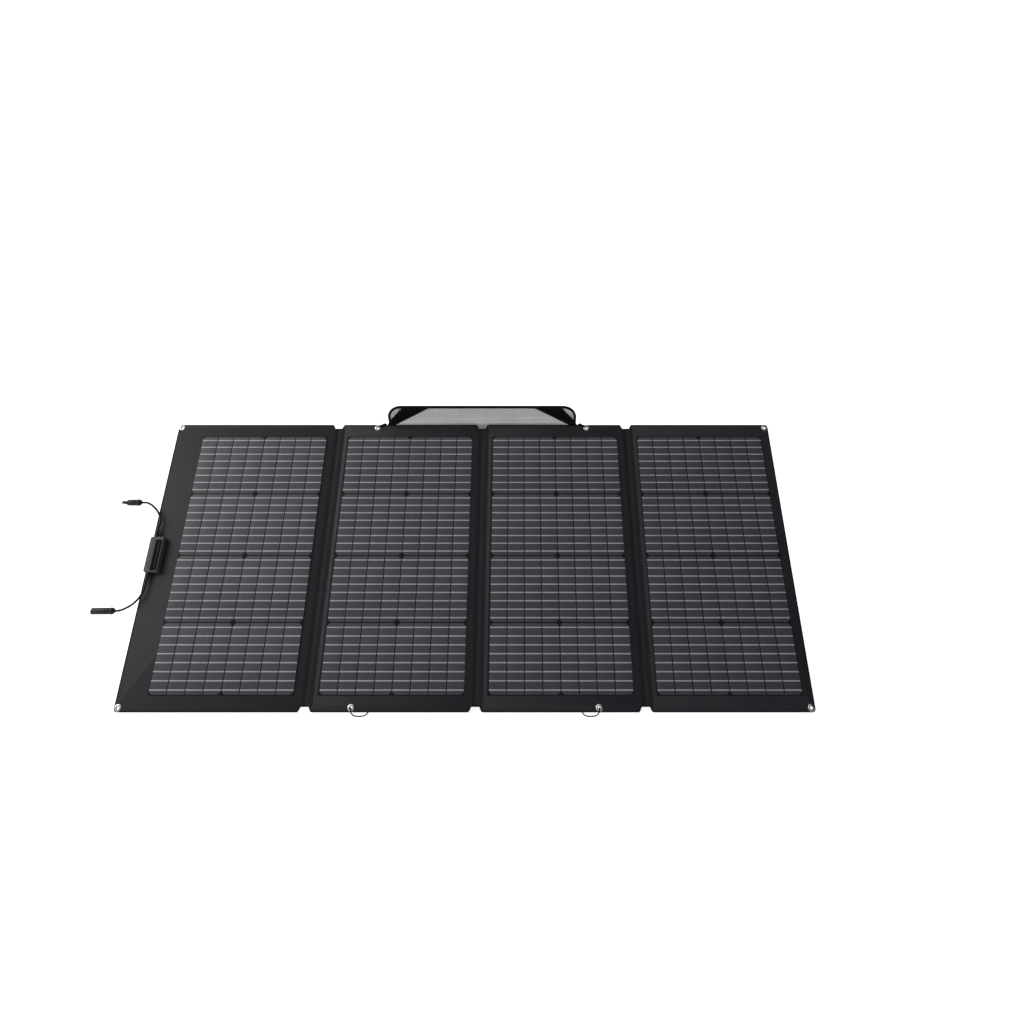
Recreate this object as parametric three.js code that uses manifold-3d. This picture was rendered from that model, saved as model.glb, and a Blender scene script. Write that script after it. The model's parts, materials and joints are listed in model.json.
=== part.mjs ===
// Folding four-section solar panel standing on its opened carry case.
// Millimetres, +Z up, X along the panel, +Y to the back.
// Origin: on the ground, under the middle of the set-up kit.

import * as THREE from 'three';
import { mergeVertices } from 'three/addons/utils/BufferGeometryUtils.js';
import Module from 'manifold-3d';

const wasm = await Module();
wasm.setup();

// ---------------------------------------------------------------- driving dimensions

const gap = 0.3;                      // left between pieces that touch

const panel = {
  width: 1835,                        // four sections, unfolded
  height: 820,
  lean: THREE.MathUtils.degToRad( 55 ),
  lift: 5,                            // front bottom edge above the ground, over the tie cords
  board: 3.5,                         // fabric-covered board of one section
  cornerRadius: 10
};

const folds = [ 498, 945, 1392 ];     // fold lines, from the panel's left edge
const foldGap = 22;                   // flexible strip between two boards
const stripThickness = 1.2;
const notchDepth = 13;                // recess at both ends of a fold
const notchFlare = 6;

const cellBlock = { width: 387, height: 742, front: 1.2, rear: 0.8, leftMargins: [ 81, 528, 975, 1422 ] };

const grommet = { inset: 10, bore: 4.3, barrel: 5.2, flange: 9, flangeThickness: 0.9, holeClearance: 0.4 };
const hookGrommetX = 325;             // from the centre fold, on sections 2 and 3

const box = { width: 40, length: 101, centre: 410, base: 9, gasket: 0.8, cover: 8, wall: 2.2 };
const slot = { width: 14, length: 84, depth: 3.5, offset: 7 };

const lead = { diameter: 6, height: 10, sides: 10, steps: 14 };
const wire = { diameter: 3, sides: 8, steps: 18 };
const tie = { diameter: 2.6, sides: 8, steps: 22 };

const carry = {
  width: 576,
  length: 838,
  centreX: folds[ 1 ] - panel.width / 2,
  front: 64,                          // front wall of the lower half, behind the panel's bottom edge
  cornerRadius: 35,
  wall: 5,
  baseDepth: 38,
  baseFloor: 4,
  lidDepth: 7,
  lidFloor: 3.5,
  lidAngle: THREE.MathUtils.degToRad( 56.1 ),   // between the two halves
  rimGap: 2,                          // from each rim to the spine's axis when closed
  lining: 1.2,
  tape: 1.2
};

const handle = { length: 170, reach: 62, webbing: 24, thickness: 3 };
const slider = { width: 9, length: 14, height: 4.6, inset: 22 };
const puller = { width: 6, length: 24, thickness: 1.6 };

const spine = { y: carry.front + carry.length + 2, z: carry.baseDepth + carry.rimGap };
const lidStart = 2;                   // the upper half's near end, from the spine's axis
const backOfKit = spine.y + ( carry.rimGap + carry.lidDepth ) * Math.sin( carry.lidAngle )
  - lidStart * Math.cos( carry.lidAngle );

// ---------------------------------------------------------------- materials

function finish( color, roughness, metalness = 0 ) {

  return () => new THREE.MeshStandardMaterial( { color, roughness, metalness } );

}

const panelFabric = finish( 0x2b2a2d, 0.82 );
const foldFabric = finish( 0x222123, 0.9 );
const cellFilm = finish( 0x4a494f, 0.3 );
const rearFilm = finish( 0x3a3b42, 0.35 );
const nickel = finish( 0xc9c9cc, 0.25, 1 );
const boxPlastic = finish( 0x3d3c3e, 0.55 );
const blackPlastic = finish( 0x141415, 0.45 );
const rubber = finish( 0x1a1a1a, 0.8 );
const circuit = finish( 0x1f4a2c, 0.6 );
const jacket = finish( 0x151516, 0.6 );
const copper = finish( 0xb9855a, 0.3, 1 );
const caseFabric = finish( 0x161617, 0.9 );
const silverLining = finish( 0xa3a4a6, 0.45, 0.3 );
const webbing = finish( 0x101011, 0.9 );
const blackMetal = finish( 0x1c1c1e, 0.4, 0.8 );

// ---------------------------------------------------------------- shape helpers

function addMesh( group, name, geometry, material, position = [ 0, 0, 0 ] ) {

  const mesh = new THREE.Mesh( geometry, material() );
  mesh.name = name;
  mesh.position.set( ...position );
  group.add( mesh );
  return mesh;

}

// A flat outline given a thickness, its lower face at z.
function slab( shape, thickness, z = 0, curveSegments = 5 ) {

  const geometry = new THREE.ExtrudeGeometry( shape, { depth: thickness, bevelEnabled: false, curveSegments } );
  return geometry.translate( 0, 0, z );

}

function roundedRectangle( x0, y0, x1, y1, radius ) {

  const shape = new THREE.Shape();
  shape.absarc( x0 + radius, y0 + radius, radius, Math.PI, 1.5 * Math.PI );
  shape.absarc( x1 - radius, y0 + radius, radius, 1.5 * Math.PI, 2 * Math.PI );
  shape.absarc( x1 - radius, y1 - radius, radius, 0, 0.5 * Math.PI );
  shape.absarc( x0 + radius, y1 - radius, radius, 0.5 * Math.PI, Math.PI );
  return shape;

}

// A body of revolution about +z from a closed profile of [ radius, z ] points.
function turned( profile, segments = 16 ) {

  const points = profile.map( ( [ r, z ] ) => new THREE.Vector2( r, z ) );
  return new THREE.LatheGeometry( points, segments ).rotateX( Math.PI / 2 );

}

function ringProfile( inner, outer, z0, z1 ) {

  return [ [ inner, z0 ], [ outer, z0 ], [ outer, z1 ], [ inner, z1 ], [ inner, z0 ] ];

}

function smoothCurve( points ) {

  return new THREE.CatmullRomCurve3( points.map( ( p ) => new THREE.Vector3( ...p ) ) );

}

// A round bar along a curve.
function bar( extrudePath, { diameter, sides, steps } ) {

  const section = new THREE.Shape();
  section.absarc( 0, 0, diameter / 2, 0, 2 * Math.PI );
  return new THREE.ExtrudeGeometry( section, { steps, curveSegments: sides / 2, extrudePath } );

}

function solid( geometry ) {

  const bare = geometry.clone();
  bare.deleteAttribute( 'normal' );
  bare.deleteAttribute( 'uv' );
  const merged = mergeVertices( bare.index ? bare.toNonIndexed() : bare );
  return new wasm.Manifold( new wasm.Mesh( {
    numProp: 3,
    vertProperties: new Float32Array( merged.attributes.position.array ),
    triVerts: new Uint32Array( merged.index.array )
  } ) );

}

function cut( body, ...tools ) {

  const result = tools.reduce( ( rest, tool ) => rest.subtract( solid( tool ) ), solid( body ) ).getMesh();
  return geometryFrom( result );

}

function join( body, ...others ) {

  return geometryFrom( others.reduce( ( sum, other ) => sum.add( solid( other ) ), solid( body ) ).getMesh() );

}

function geometryFrom( mesh ) {

  const geometry = new THREE.BufferGeometry();
  geometry.setAttribute( 'position', new THREE.BufferAttribute( mesh.vertProperties, 3 ) );
  geometry.setIndex( new THREE.BufferAttribute( mesh.triVerts, 1 ) );
  geometry.computeVertexNormals();
  return geometry;

}

// ---------------------------------------------------------------- frames

const kit = new THREE.Group();
kit.position.y = - backOfKit / 2;

// On the panel: x from the panel's middle, y up from its bottom edge, z out of its front.
const onPanel = new THREE.Group();
onPanel.position.set( 0, 0, panel.lift );
onPanel.rotation.x = panel.lean;
kit.add( onPanel );

// On the lower half of the case: x from the case's middle, y from its front wall, z up.
const onBase = new THREE.Group();
onBase.position.set( carry.centreX, carry.front, 0 );
kit.add( onBase );

// On the upper half: y from the spine's axis to its free end, z towards its inside.
const onLid = new THREE.Group();
onLid.position.set( carry.centreX, spine.y, spine.z );
onLid.rotation.x = Math.PI - carry.lidAngle;
kit.add( onLid );

const panelX = ( fromLeft ) => fromLeft - panel.width / 2;

// ---------------------------------------------------------------- panel sections

// Outline of one board, clockwise corners cut back beside a fold and rounded at a free side.
function boardShape( left, right, foldLeft, foldRight ) {

  const shape = new THREE.Shape();
  const h = panel.height;
  const r = panel.cornerRadius;

  if ( foldLeft ) shape.moveTo( left, notchDepth ).lineTo( left + notchFlare, 0 );
  else shape.absarc( left + r, r, r, Math.PI, 1.5 * Math.PI );

  if ( foldRight ) shape.lineTo( right - notchFlare, 0 ).lineTo( right, notchDepth );
  else shape.absarc( right - r, r, r, 1.5 * Math.PI, 2 * Math.PI );

  if ( foldRight ) shape.lineTo( right, h - notchDepth ).lineTo( right - notchFlare, h );
  else shape.absarc( right - r, h - r, r, 0, 0.5 * Math.PI );

  if ( foldLeft ) shape.lineTo( left + notchFlare, h ).lineTo( left, h - notchDepth );
  else shape.absarc( left + r, h - r, r, 0.5 * Math.PI, Math.PI );

  return shape;

}

function grommetHole( x, y ) {

  const hole = new THREE.Path();
  hole.absarc( x, y, grommet.barrel + grommet.holeClearance, 0, 2 * Math.PI, true );
  return hole;

}

function addGrommet( name, x, y ) {

  const front = gap;
  const back = - panel.board - gap;
  const profile = [
    [ grommet.bore, back - grommet.flangeThickness ],
    [ grommet.flange - 0.6, back - grommet.flangeThickness ],
    [ grommet.flange, back ],
    [ grommet.barrel, back ],
    [ grommet.barrel, front ],
    [ grommet.flange, front ],
    [ grommet.flange - 0.6, front + grommet.flangeThickness ],
    [ grommet.bore, front + grommet.flangeThickness ],
    [ grommet.bore, back - grommet.flangeThickness ]
  ];
  addMesh( onPanel, name, turned( profile ), nickel, [ x, y, 0 ] );

}

const farLeft = panelX( grommet.inset );
const farRight = panelX( panel.width - grommet.inset );
const hookLeft = carry.centreX - hookGrommetX;
const hookRight = carry.centreX + hookGrommetX;
const lowRow = grommet.inset;
const highRow = panel.height - grommet.inset;
const grommetColumns = [
  { section: 1, side: 'left', x: farLeft },
  { section: 2, side: 'mid_left', x: hookLeft },
  { section: 3, side: 'mid_right', x: hookRight },
  { section: 4, side: 'right', x: farRight }
];

for ( let i = 0; i < 4; i ++ ) {

  const foldLeft = i > 0;
  const foldRight = i < 3;
  const left = panelX( foldLeft ? folds[ i - 1 ] + foldGap / 2 : 0 );
  const right = panelX( foldRight ? folds[ i ] - foldGap / 2 : panel.width );
  const shape = boardShape( left, right, foldLeft, foldRight );
  const column = grommetColumns[ i ];
  shape.holes.push( grommetHole( column.x, lowRow ), grommetHole( column.x, highRow ) );
  addMesh( onPanel, `section_${ i + 1 }_board`, slab( shape, panel.board, - panel.board, 6 ), panelFabric );

  const middle = [ panelX( cellBlock.leftMargins[ i ] + cellBlock.width / 2 ), panel.height / 2 ];
  addMesh( onPanel, `section_${ i + 1 }_cells`,
    new THREE.BoxGeometry( cellBlock.width, cellBlock.height, cellBlock.front ), cellFilm,
    [ ...middle, gap + cellBlock.front / 2 ] );
  addMesh( onPanel, `section_${ i + 1 }_rear_window`,
    new THREE.BoxGeometry( cellBlock.width, cellBlock.height, cellBlock.rear ), rearFilm,
    [ ...middle, - panel.board - gap - cellBlock.rear / 2 ] );

  addGrommet( `grommet_bottom_${ column.side }`, column.x, lowRow );
  addGrommet( `grommet_top_${ column.side }`, column.x, highRow );

}

folds.forEach( ( fold, i ) => {

  const strip = new THREE.BoxGeometry( foldGap - 2 * gap, panel.height - 2 * notchDepth, stripThickness );
  addMesh( onPanel, `fold_strip_${ i + 1 }`, strip, foldFabric,
    [ panelX( fold ), panel.height / 2, - panel.board / 2 ] );

} );

// ---------------------------------------------------------------- junction box on section 1

// Its own frame: x across the box, y along it, z off the board.
const onBox = new THREE.Group();
onBox.position.set( panelX( box.width / 2 ), box.centre, gap );
onPanel.add( onBox );

const boxOutline = ( shrink ) => roundedRectangle(
  - box.width / 2 + shrink, - box.length / 2 + shrink, box.width / 2 - shrink, box.length / 2 - shrink, 4 - shrink );

const boxFloor = 2;
addMesh( onBox, 'junction_box_base',
  cut( slab( boxOutline( 0 ), box.base, 0, 3 ), slab( boxOutline( box.wall ), box.base, boxFloor, 3 ) ), boxPlastic );

const gasketShape = boxOutline( 0.3 );
gasketShape.holes.push( boxOutline( box.wall - 0.3 ) );
const gasketZ = box.base + gap;
addMesh( onBox, 'junction_box_gasket', slab( gasketShape, box.gasket, gasketZ, 3 ), rubber );

const coverZ = gasketZ + box.gasket + gap;
const coverSkin = 5.2;
const slotTool = new THREE.BoxGeometry( slot.width, slot.length, slot.depth * 2 );
slotTool.translate( slot.offset, 0, coverZ + box.cover );
addMesh( onBox, 'junction_box_cover',
  cut( slab( boxOutline( 0 ), box.cover, coverZ, 3 ),
    slab( boxOutline( box.wall ), box.cover, coverZ - coverSkin, 3 ), slotTool ), boxPlastic );

const terminalBoard = { width: 31, length: 84, thickness: 1.6, z: boxFloor + gap };
addMesh( onBox, 'terminal_board',
  new THREE.BoxGeometry( terminalBoard.width, terminalBoard.length, terminalBoard.thickness ), circuit,
  [ 0, 0, terminalBoard.z + terminalBoard.thickness / 2 ] );
const diode = { width: 14, length: 22, height: 3.6 };
addMesh( onBox, 'bypass_diode',
  new THREE.BoxGeometry( diode.width, diode.length, diode.height ), blackPlastic,
  [ 0, 0, terminalBoard.z + terminalBoard.thickness + gap + diode.height / 2 ] );

const gland = { collar: 6.5, collarLength: 9, boot: 5.4, tip: 4.1, bootLength: 16 };
const glandX = - 8;                   // across the box, from its middle

for ( const [ end, direction ] of [ [ 'upper', 1 ], [ 'lower', - 1 ] ] ) {

  const collar = turned( [
    [ 0, 0 ], [ gland.collar, 0 ], [ gland.collar, gland.collarLength - 1 ],
    [ gland.collar - 1, gland.collarLength ], [ 0, gland.collarLength ] ], 12 );
  const boot = turned( [ [ 0, 0 ], [ gland.boot, 0 ], [ gland.tip, gland.bootLength ], [ 0, gland.bootLength ] ], 12 );
  const turn = - direction * Math.PI / 2;
  const collarY = direction * ( box.length / 2 + gap );
  const bootY = collarY + direction * ( gland.collarLength + gap );
  const glandZ = lead.height - gap;
  addMesh( onBox, `gland_${ end }`, collar.rotateX( turn ), blackPlastic, [ glandX, collarY, glandZ ] );
  addMesh( onBox, `strain_relief_${ end }`, boot.rotateX( turn ), rubber, [ glandX, bootY, glandZ ] );

}

// ---------------------------------------------------------------- output leads and connectors

// Routes on the panel: x from its left edge, y from its bottom edge, both at the lead's height.
const glandReach = box.length / 2 + gland.collarLength + gland.bootLength + 3 * gap;
const upperRoute = [
  [ 12, box.centre + glandReach ], [ 12, 491 ], [ 13.6, 500 ], [ 13.8, 509 ], [ 9.6, 521 ],
  [ 2, 533.6 ], [ - 10, 547 ], [ - 24.5, 558 ], [ - 38, 564 ], [ - 50, 564.6 ], [ - 54, 564.6 ]
];
const lowerRoute = [
  [ 12, box.centre - glandReach ], [ 12, 328 ], [ 11.4, 314 ], [ 8.2, 300 ],
  [ 2, 287.4 ], [ - 9, 274 ], [ - 23, 263.6 ], [ - 38, 256.6 ], [ - 50, 254.1 ], [ - 55, 254 ]
];
const onLeadPlane = ( [ x, y ] ) => [ panelX( x ), y, lead.height ];


// Adds a lead, and gives the frame of the connector on its end: z along it, away from the lead.
function addLead( name, route ) {

  const curve = smoothCurve( route.map( onLeadPlane ) );
  addMesh( onPanel, name, bar( curve, lead ), jacket );
  const frame = new THREE.Group();
  frame.position.copy( curve.getPoint( 1 ) );
  frame.quaternion.setFromUnitVectors( new THREE.Vector3( 0, 0, 1 ), curve.getTangent( 1 ) );
  onPanel.add( frame );
  return frame;

}

const plug = { nut: 8.4, nutRear: 5, nutLength: 15, body: 8, pin: 2 };
const nutProfile = [
  [ 0, gap ], [ plug.nutRear, gap ], [ plug.nut, 6 ], [ plug.nut, plug.nutLength ], [ 0, plug.nutLength ]
];

const onMale = addLead( 'lead_upper', upperRoute );
const maleBody = { length: 24, prong: 14, prongWidth: 4, prongThickness: 2, collar: 5 };
const bodyZ = plug.nutLength + gap;
const maleCore = turned( [
  [ 0, 0 ], [ plug.body, 0 ], [ plug.body, maleBody.length ], [ maleBody.collar, maleBody.length ],
  [ maleBody.collar, maleBody.length + 5 ], [ 0, maleBody.length + 5 ] ], 14 );
const prongs = [ - 1, 1 ].map( ( side ) => new THREE.BoxGeometry(
  maleBody.prongThickness, maleBody.prongWidth, maleBody.prong + 1 )
  .translate( side * ( plug.body - maleBody.prongThickness ), 0, maleBody.length + maleBody.prong / 2 - 0.5 ) );
addMesh( onMale, 'male_connector_nut', turned( nutProfile, 14 ), blackPlastic );
addMesh( onMale, 'male_connector_body', join( maleCore, ...prongs ).rotateZ( Math.PI / 2 ), blackPlastic, [ 0, 0, bodyZ ] );
addMesh( onMale, 'male_connector_pin',
  turned( [ [ 0, 0 ], [ plug.pin, 0 ], [ plug.pin, 11 ], [ 1.2, 13 ], [ 0, 13 ] ], 10 ), copper,
  [ 0, 0, bodyZ + maleBody.length + 5 + gap ] );

const onFemale = addLead( 'lead_lower', lowerRoute );
const femaleBody = { length: 52, bore: 5.6, boreDepth: 26 };
addMesh( onFemale, 'female_connector_nut', turned( nutProfile, 14 ), blackPlastic );
addMesh( onFemale, 'female_connector_body', turned( [
  [ 0, 0 ], [ plug.body, 0 ], [ plug.body, femaleBody.length - 1 ], [ plug.body - 1, femaleBody.length ],
  [ femaleBody.bore, femaleBody.length ], [ femaleBody.bore, femaleBody.length - femaleBody.boreDepth ],
  [ 0, femaleBody.length - femaleBody.boreDepth ] ], 14 ), blackPlastic, [ 0, 0, bodyZ ] );
addMesh( onFemale, 'female_connector_contact',
  turned( ringProfile( plug.pin + 0.3, 3.4, 0, 15 ), 10 ), copper,
  [ 0, 0, bodyZ + femaleBody.length - femaleBody.boreDepth + gap ] );

// ---------------------------------------------------------------- carry case, lower half

const halfWidth = carry.width / 2;
const innerRadius = carry.cornerRadius - carry.wall;

function traySolid( depth, floor, x0, y0, x1, y1 ) {

  const outer = slab( roundedRectangle( x0, y0, x1, y1, carry.cornerRadius ), depth );
  const inner = slab( roundedRectangle(
    x0 + carry.wall, y0 + carry.wall, x1 - carry.wall, y1 - carry.wall, innerRadius ), depth, floor );
  return cut( outer, inner );

}

function liningShape( y0, y1 ) {

  const inset = carry.wall + 2 * gap;
  return roundedRectangle( - halfWidth + inset, y0 + inset, halfWidth - inset, y1 - inset, innerRadius );

}

// Zip tape: a band along three sides of the rim, open at the spine.
function tapeShape( spineY, farY, band ) {

  const outer = halfWidth - 0.3;
  const inner = outer - band;
  const sign = Math.sign( farY - spineY );
  const end = farY - sign * 0.3;
  const arcY = end - sign * carry.cornerRadius;
  const radius = carry.cornerRadius;
  const shape = new THREE.Shape();
  const corner = ( x, r, from, to, clockwise ) => shape.absarc( x, arcY, r, sign * from, sign * to, clockwise );
  const way = sign < 0;
  shape.moveTo( outer, spineY );
  corner( outer - radius, radius, 0, Math.PI / 2, way );
  corner( - outer + radius, radius, Math.PI / 2, Math.PI, way );
  shape.lineTo( - outer, spineY ).lineTo( - inner, spineY );
  corner( - outer + radius, radius - band, Math.PI, Math.PI / 2, ! way );
  corner( outer - radius, radius - band, Math.PI / 2, 0, ! way );
  shape.lineTo( inner, spineY );
  return shape;

}

const tapeBand = carry.wall - 0.8;
const spineMargin = carry.cornerRadius + 12;     // the zip starts this far from the spine

addMesh( onBase, 'case_base_shell',
  traySolid( carry.baseDepth, carry.baseFloor, - halfWidth, 0, halfWidth, carry.length ), caseFabric );
addMesh( onBase, 'case_base_lining',
  slab( liningShape( 0, carry.length ), carry.lining, carry.baseFloor + gap ), silverLining );
addMesh( onBase, 'zip_tape_base',
  slab( tapeShape( carry.length - spineMargin, 0, tapeBand ), carry.tape, carry.baseDepth + gap ), webbing );

const spineStrip = { width: 500, thickness: 1.6, bottom: 5 };
addMesh( onBase, 'case_spine',
  new THREE.BoxGeometry( spineStrip.width, spineStrip.thickness, carry.baseDepth - spineStrip.bottom ), caseFabric,
  [ 0, carry.length + gap + spineStrip.thickness / 2, ( carry.baseDepth + spineStrip.bottom ) / 2 ] );

for ( const [ side, direction ] of [ [ 'left', - 1 ], [ 'right', 1 ] ] ) {

  const x = direction * ( halfWidth - carry.wall / 2 );
  const y = carry.length - spineMargin - slider.inset;
  const z = carry.baseDepth + carry.tape + 2 * gap;
  addMesh( onBase, `zip_slider_${ side }`,
    new THREE.BoxGeometry( slider.width, slider.length, slider.height ), blackMetal, [ x, y, z + slider.height / 2 ] );
  const pullerShape = roundedRectangle( - puller.width / 2, - puller.length, puller.width / 2, 0, 2 );
  addMesh( onBase, `zip_puller_${ side }`,
    slab( pullerShape, puller.thickness, 0, 3 ), blackMetal, [ x, y, z + slider.height + gap ] );

}

// A flat webbing loop: its feet at x = 0, its grip parallel to y and reaching out along +x.
function handleGeometry() {

  const { length, reach, webbing: band, thickness } = handle;
  const half = length / 2;
  const bend = 30;
  const shape = new THREE.Shape();
  shape.moveTo( 0, - half ).absarc( reach - bend, - half + bend, bend, 1.5 * Math.PI, 2 * Math.PI );
  shape.absarc( reach - bend, half - bend, bend, 0, 0.5 * Math.PI ).lineTo( 0, half ).lineTo( 0, half - band );
  shape.absarc( reach - bend, half - bend, bend - band, 0.5 * Math.PI, 0, true );
  shape.absarc( reach - bend, - half + bend, bend - band, 0, - 0.5 * Math.PI, true ).lineTo( 0, - half + band );
  return slab( shape, thickness, - thickness / 2 );

}

const handleOut = halfWidth + 3;      // swing axis, beyond the side wall
addMesh( onBase, 'carry_handle', handleGeometry(), webbing, [ handleOut, carry.length / 2, 3.2 ] );

// ---------------------------------------------------------------- carry case, upper half

const lidBack = - carry.rimGap - carry.lidDepth;
const lidEnd = lidStart + carry.length;

addMesh( onLid, 'case_lid_shell',
  traySolid( carry.lidDepth, carry.lidFloor, - halfWidth, lidStart, halfWidth, lidEnd ), caseFabric, [ 0, 0, lidBack ] );
addMesh( onLid, 'case_lid_lining',
  slab( liningShape( lidStart, lidEnd ), carry.lining, lidBack + carry.lidFloor + gap ), silverLining );
addMesh( onLid, 'zip_tape_lid',
  slab( tapeShape( lidStart + spineMargin, lidEnd, tapeBand ), carry.tape, - carry.rimGap + gap ), webbing );

// Corner straps: webbing triangles from the free end's rim to a narrow tip beside the panel's top edge.
const strap = { thickness: 1.1, outerTop: 246, innerTop: 164, tipX: 299, tipInnerX: 286, tipY: 748, innerY: 758 };

function strapShape( side ) {

  const points = [
    [ strap.innerTop, lidEnd - 1 ], [ strap.outerTop, lidEnd - 1 ], [ strap.tipX - 9, strap.tipY + 30 ],
    [ strap.tipX, strap.tipY + 8 ], [ strap.tipX, strap.tipY ], [ strap.tipInnerX, strap.innerY ]
  ];
  return new THREE.Shape( points.map( ( [ x, y ] ) => new THREE.Vector2( side * x, y ) ) );

}

const strapZ = - carry.rimGap + carry.tape + 2 * gap;
for ( const [ side, sign ] of [ [ 'left', - 1 ], [ 'right', 1 ] ] ) {

  addMesh( onLid, `corner_strap_${ side }`, slab( strapShape( sign ), strap.thickness, strapZ ), webbing );

}

// ---------------------------------------------------------------- hooks and tie cords

// Wire hook: from beside the strap's tip, over the panel's top edge and into the grommet's front.
// Distances from the grommet: x towards the case, y up the panel; z out of the panel's front.
const hookRoute = [
  [ 21, 13, - 15 ], [ 19, 15, - 9 ], [ 16, 15.5, - 3 ], [ 12.5, 14.5, 1.5 ],
  [ 8, 10, 3.8 ], [ 3.5, 4, 4 ], [ 1, 1.2, 3.2 ], [ 0, 0, 0.5 ], [ 0, 0, - 4 ]
];

// Elastic tie: out of the bottom grommet, round in front on the ground and back under the panel.
// Distances from the grommet along x, then y and z from the panel's bottom edge on the ground.
const tieHeight = tie.diameter / 2 + 0.4;
const tieRoute = [
  [ 0, 4.6, 13.4 ], [ - 0.4, - 0.6, 11.6 ], [ 1.5, - 4.6, 7.2 ], [ 5.5, - 8.2, 3.2 ], [ 12, - 11.8, tieHeight ],
  [ 21, - 14, tieHeight ], [ 31, - 13.6, tieHeight ], [ 39, - 9.5, tieHeight ], [ 43, - 2.5, tieHeight ],
  [ 44.6, 8, tieHeight ], [ 45.4, 22, 2.4 ], [ 45.6, 38, 5 ], [ 45.6, 52, 8.4 ], [ 45.6, carry.front - gap, 11 ]
];

for ( const [ side, x, inward ] of [ [ 'left', hookLeft, 1 ], [ 'right', hookRight, - 1 ] ] ) {

  const hookPoints = hookRoute.map( ( [ dx, dy, dz ] ) => [ x + inward * dx, highRow + dy, dz ] );
  addMesh( onPanel, `grommet_hook_${ side }`, bar( smoothCurve( hookPoints ), wire ), blackMetal );
  const tiePoints = tieRoute.map( ( [ dx, y, z ] ) => [ x + inward * dx, y, z ] );
  addMesh( kit, `tie_cord_${ side }`, bar( smoothCurve( tiePoints ), tie ), rubber );

}

export default kit;
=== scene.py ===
# Folding four-section solar panel standing on its opened carry case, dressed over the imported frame.
# Dictionaries are in millimetres and degrees unless a line says otherwise; meshes are laid down in metres.
import json
from functools import partial

import bmesh
import bpy
import numpy as np
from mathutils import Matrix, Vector
from mathutils.geometry import tessellate_polygon


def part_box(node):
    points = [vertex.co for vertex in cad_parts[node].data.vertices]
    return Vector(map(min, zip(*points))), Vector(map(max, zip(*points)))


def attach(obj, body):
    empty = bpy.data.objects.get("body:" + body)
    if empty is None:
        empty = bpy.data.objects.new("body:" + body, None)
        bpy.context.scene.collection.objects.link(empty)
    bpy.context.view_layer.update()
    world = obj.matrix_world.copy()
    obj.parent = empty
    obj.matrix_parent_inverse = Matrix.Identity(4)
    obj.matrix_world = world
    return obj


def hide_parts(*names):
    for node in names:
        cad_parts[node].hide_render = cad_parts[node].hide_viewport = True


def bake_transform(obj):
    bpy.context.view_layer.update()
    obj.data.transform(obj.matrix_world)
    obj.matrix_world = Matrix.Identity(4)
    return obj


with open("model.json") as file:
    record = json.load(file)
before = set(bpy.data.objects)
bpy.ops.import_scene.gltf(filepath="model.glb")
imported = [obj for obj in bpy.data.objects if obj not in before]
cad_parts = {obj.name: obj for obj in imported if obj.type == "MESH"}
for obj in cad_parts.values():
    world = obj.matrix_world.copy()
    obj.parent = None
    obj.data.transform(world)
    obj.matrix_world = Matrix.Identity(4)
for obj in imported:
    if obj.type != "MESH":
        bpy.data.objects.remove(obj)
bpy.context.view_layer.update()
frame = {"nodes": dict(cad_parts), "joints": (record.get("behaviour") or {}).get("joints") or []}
hinge = {j["name"]: j for j in frame["joints"]}
print("frame loaded with", len(frame["nodes"]), "nodes")


def standAt(origin, across, up):
    # a stand is an origin and three axes: across, up, and out of the surface = across x up
    across, up = np.array(across, float), np.array(up, float)
    return np.array(origin, float), np.array([across, up, np.cross(across, up)])


def inRow(points, stand):
    # origin + x across + y up + z out
    return stand[0] + np.asarray(points, float) @ stand[1] / 1000


# three stands: on the leaning panel, on the lower half of the case, on the upper half
leanSpot = hinge["panel_lean"]["pos_m"]
board1Low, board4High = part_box("section_1_board")[0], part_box("section_4_board")[1]
panelStand = standAt([board1Low.x, leanSpot[1], leanSpot[2]], [1, 0, 0], hinge["fold_centre"]["axis"])
baseLow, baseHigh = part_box("case_base_shell")
baseStand = standAt([(baseLow.x + baseHigh.x) / 2, baseLow.y, 0], [1, 0, 0], [0, 1, 0])
liner = np.array([v.co for v in frame["nodes"]["case_lid_lining"].data.vertices], float) * [0, 1, 1]
liner = np.unique(liner.round(6), axis=0)
lidUp = np.linalg.svd(liner - liner.mean(0), full_matrices=False)[2][0]
lidUp *= np.sign(lidUp[2])
lidStand = standAt(hinge["case_open"]["pos_m"], [1, 0, 0], lidUp)
panelLean = np.degrees(np.arctan2(panelStand[1][1][2], panelStand[1][1][1]))
lidLean = np.degrees(np.arctan2(lidUp[2], lidUp[1]))
groundStand = standAt([0, leanSpot[1], 0], [1, 0, 0], [0, 1, 0])

# camera, from the panel's front bottom edge
camera = {"right": 142.27, "inFront": 1838.52, "above": 1108.58, "pitchDown": 6.855,
          "lens": 26.37, "sensor": 36, "shiftX": -0.00684, "shiftY": -0.1344}
cameraData = bpy.data.cameras.new("kitCamera")
cameraData.lens, cameraData.sensor_width = camera["lens"], camera["sensor"]
cameraData.shift_x, cameraData.shift_y = camera["shiftX"], camera["shiftY"]
cameraObject = bpy.data.objects.new("kitCamera", cameraData)
panelMiddle = (board1Low.x + board4High.x) / 2
cameraObject.location = (panelMiddle + camera["right"] / 1000, leanSpot[1] - camera["inFront"] / 1000,
                         leanSpot[2] + camera["above"] / 1000)
cameraObject.rotation_euler = (np.radians(90 - camera["pitchDown"]), 0, 0)
bpy.context.scene.collection.objects.link(cameraObject)
bpy.context.scene.camera = cameraObject
print("camera placed")


# shapes: a patch is points, faces (a triangle has -1 last), a UV for each face corner in metres, and a value
# at points for wear and for painted shade
weldDistance = 1e-6  # metres

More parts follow.
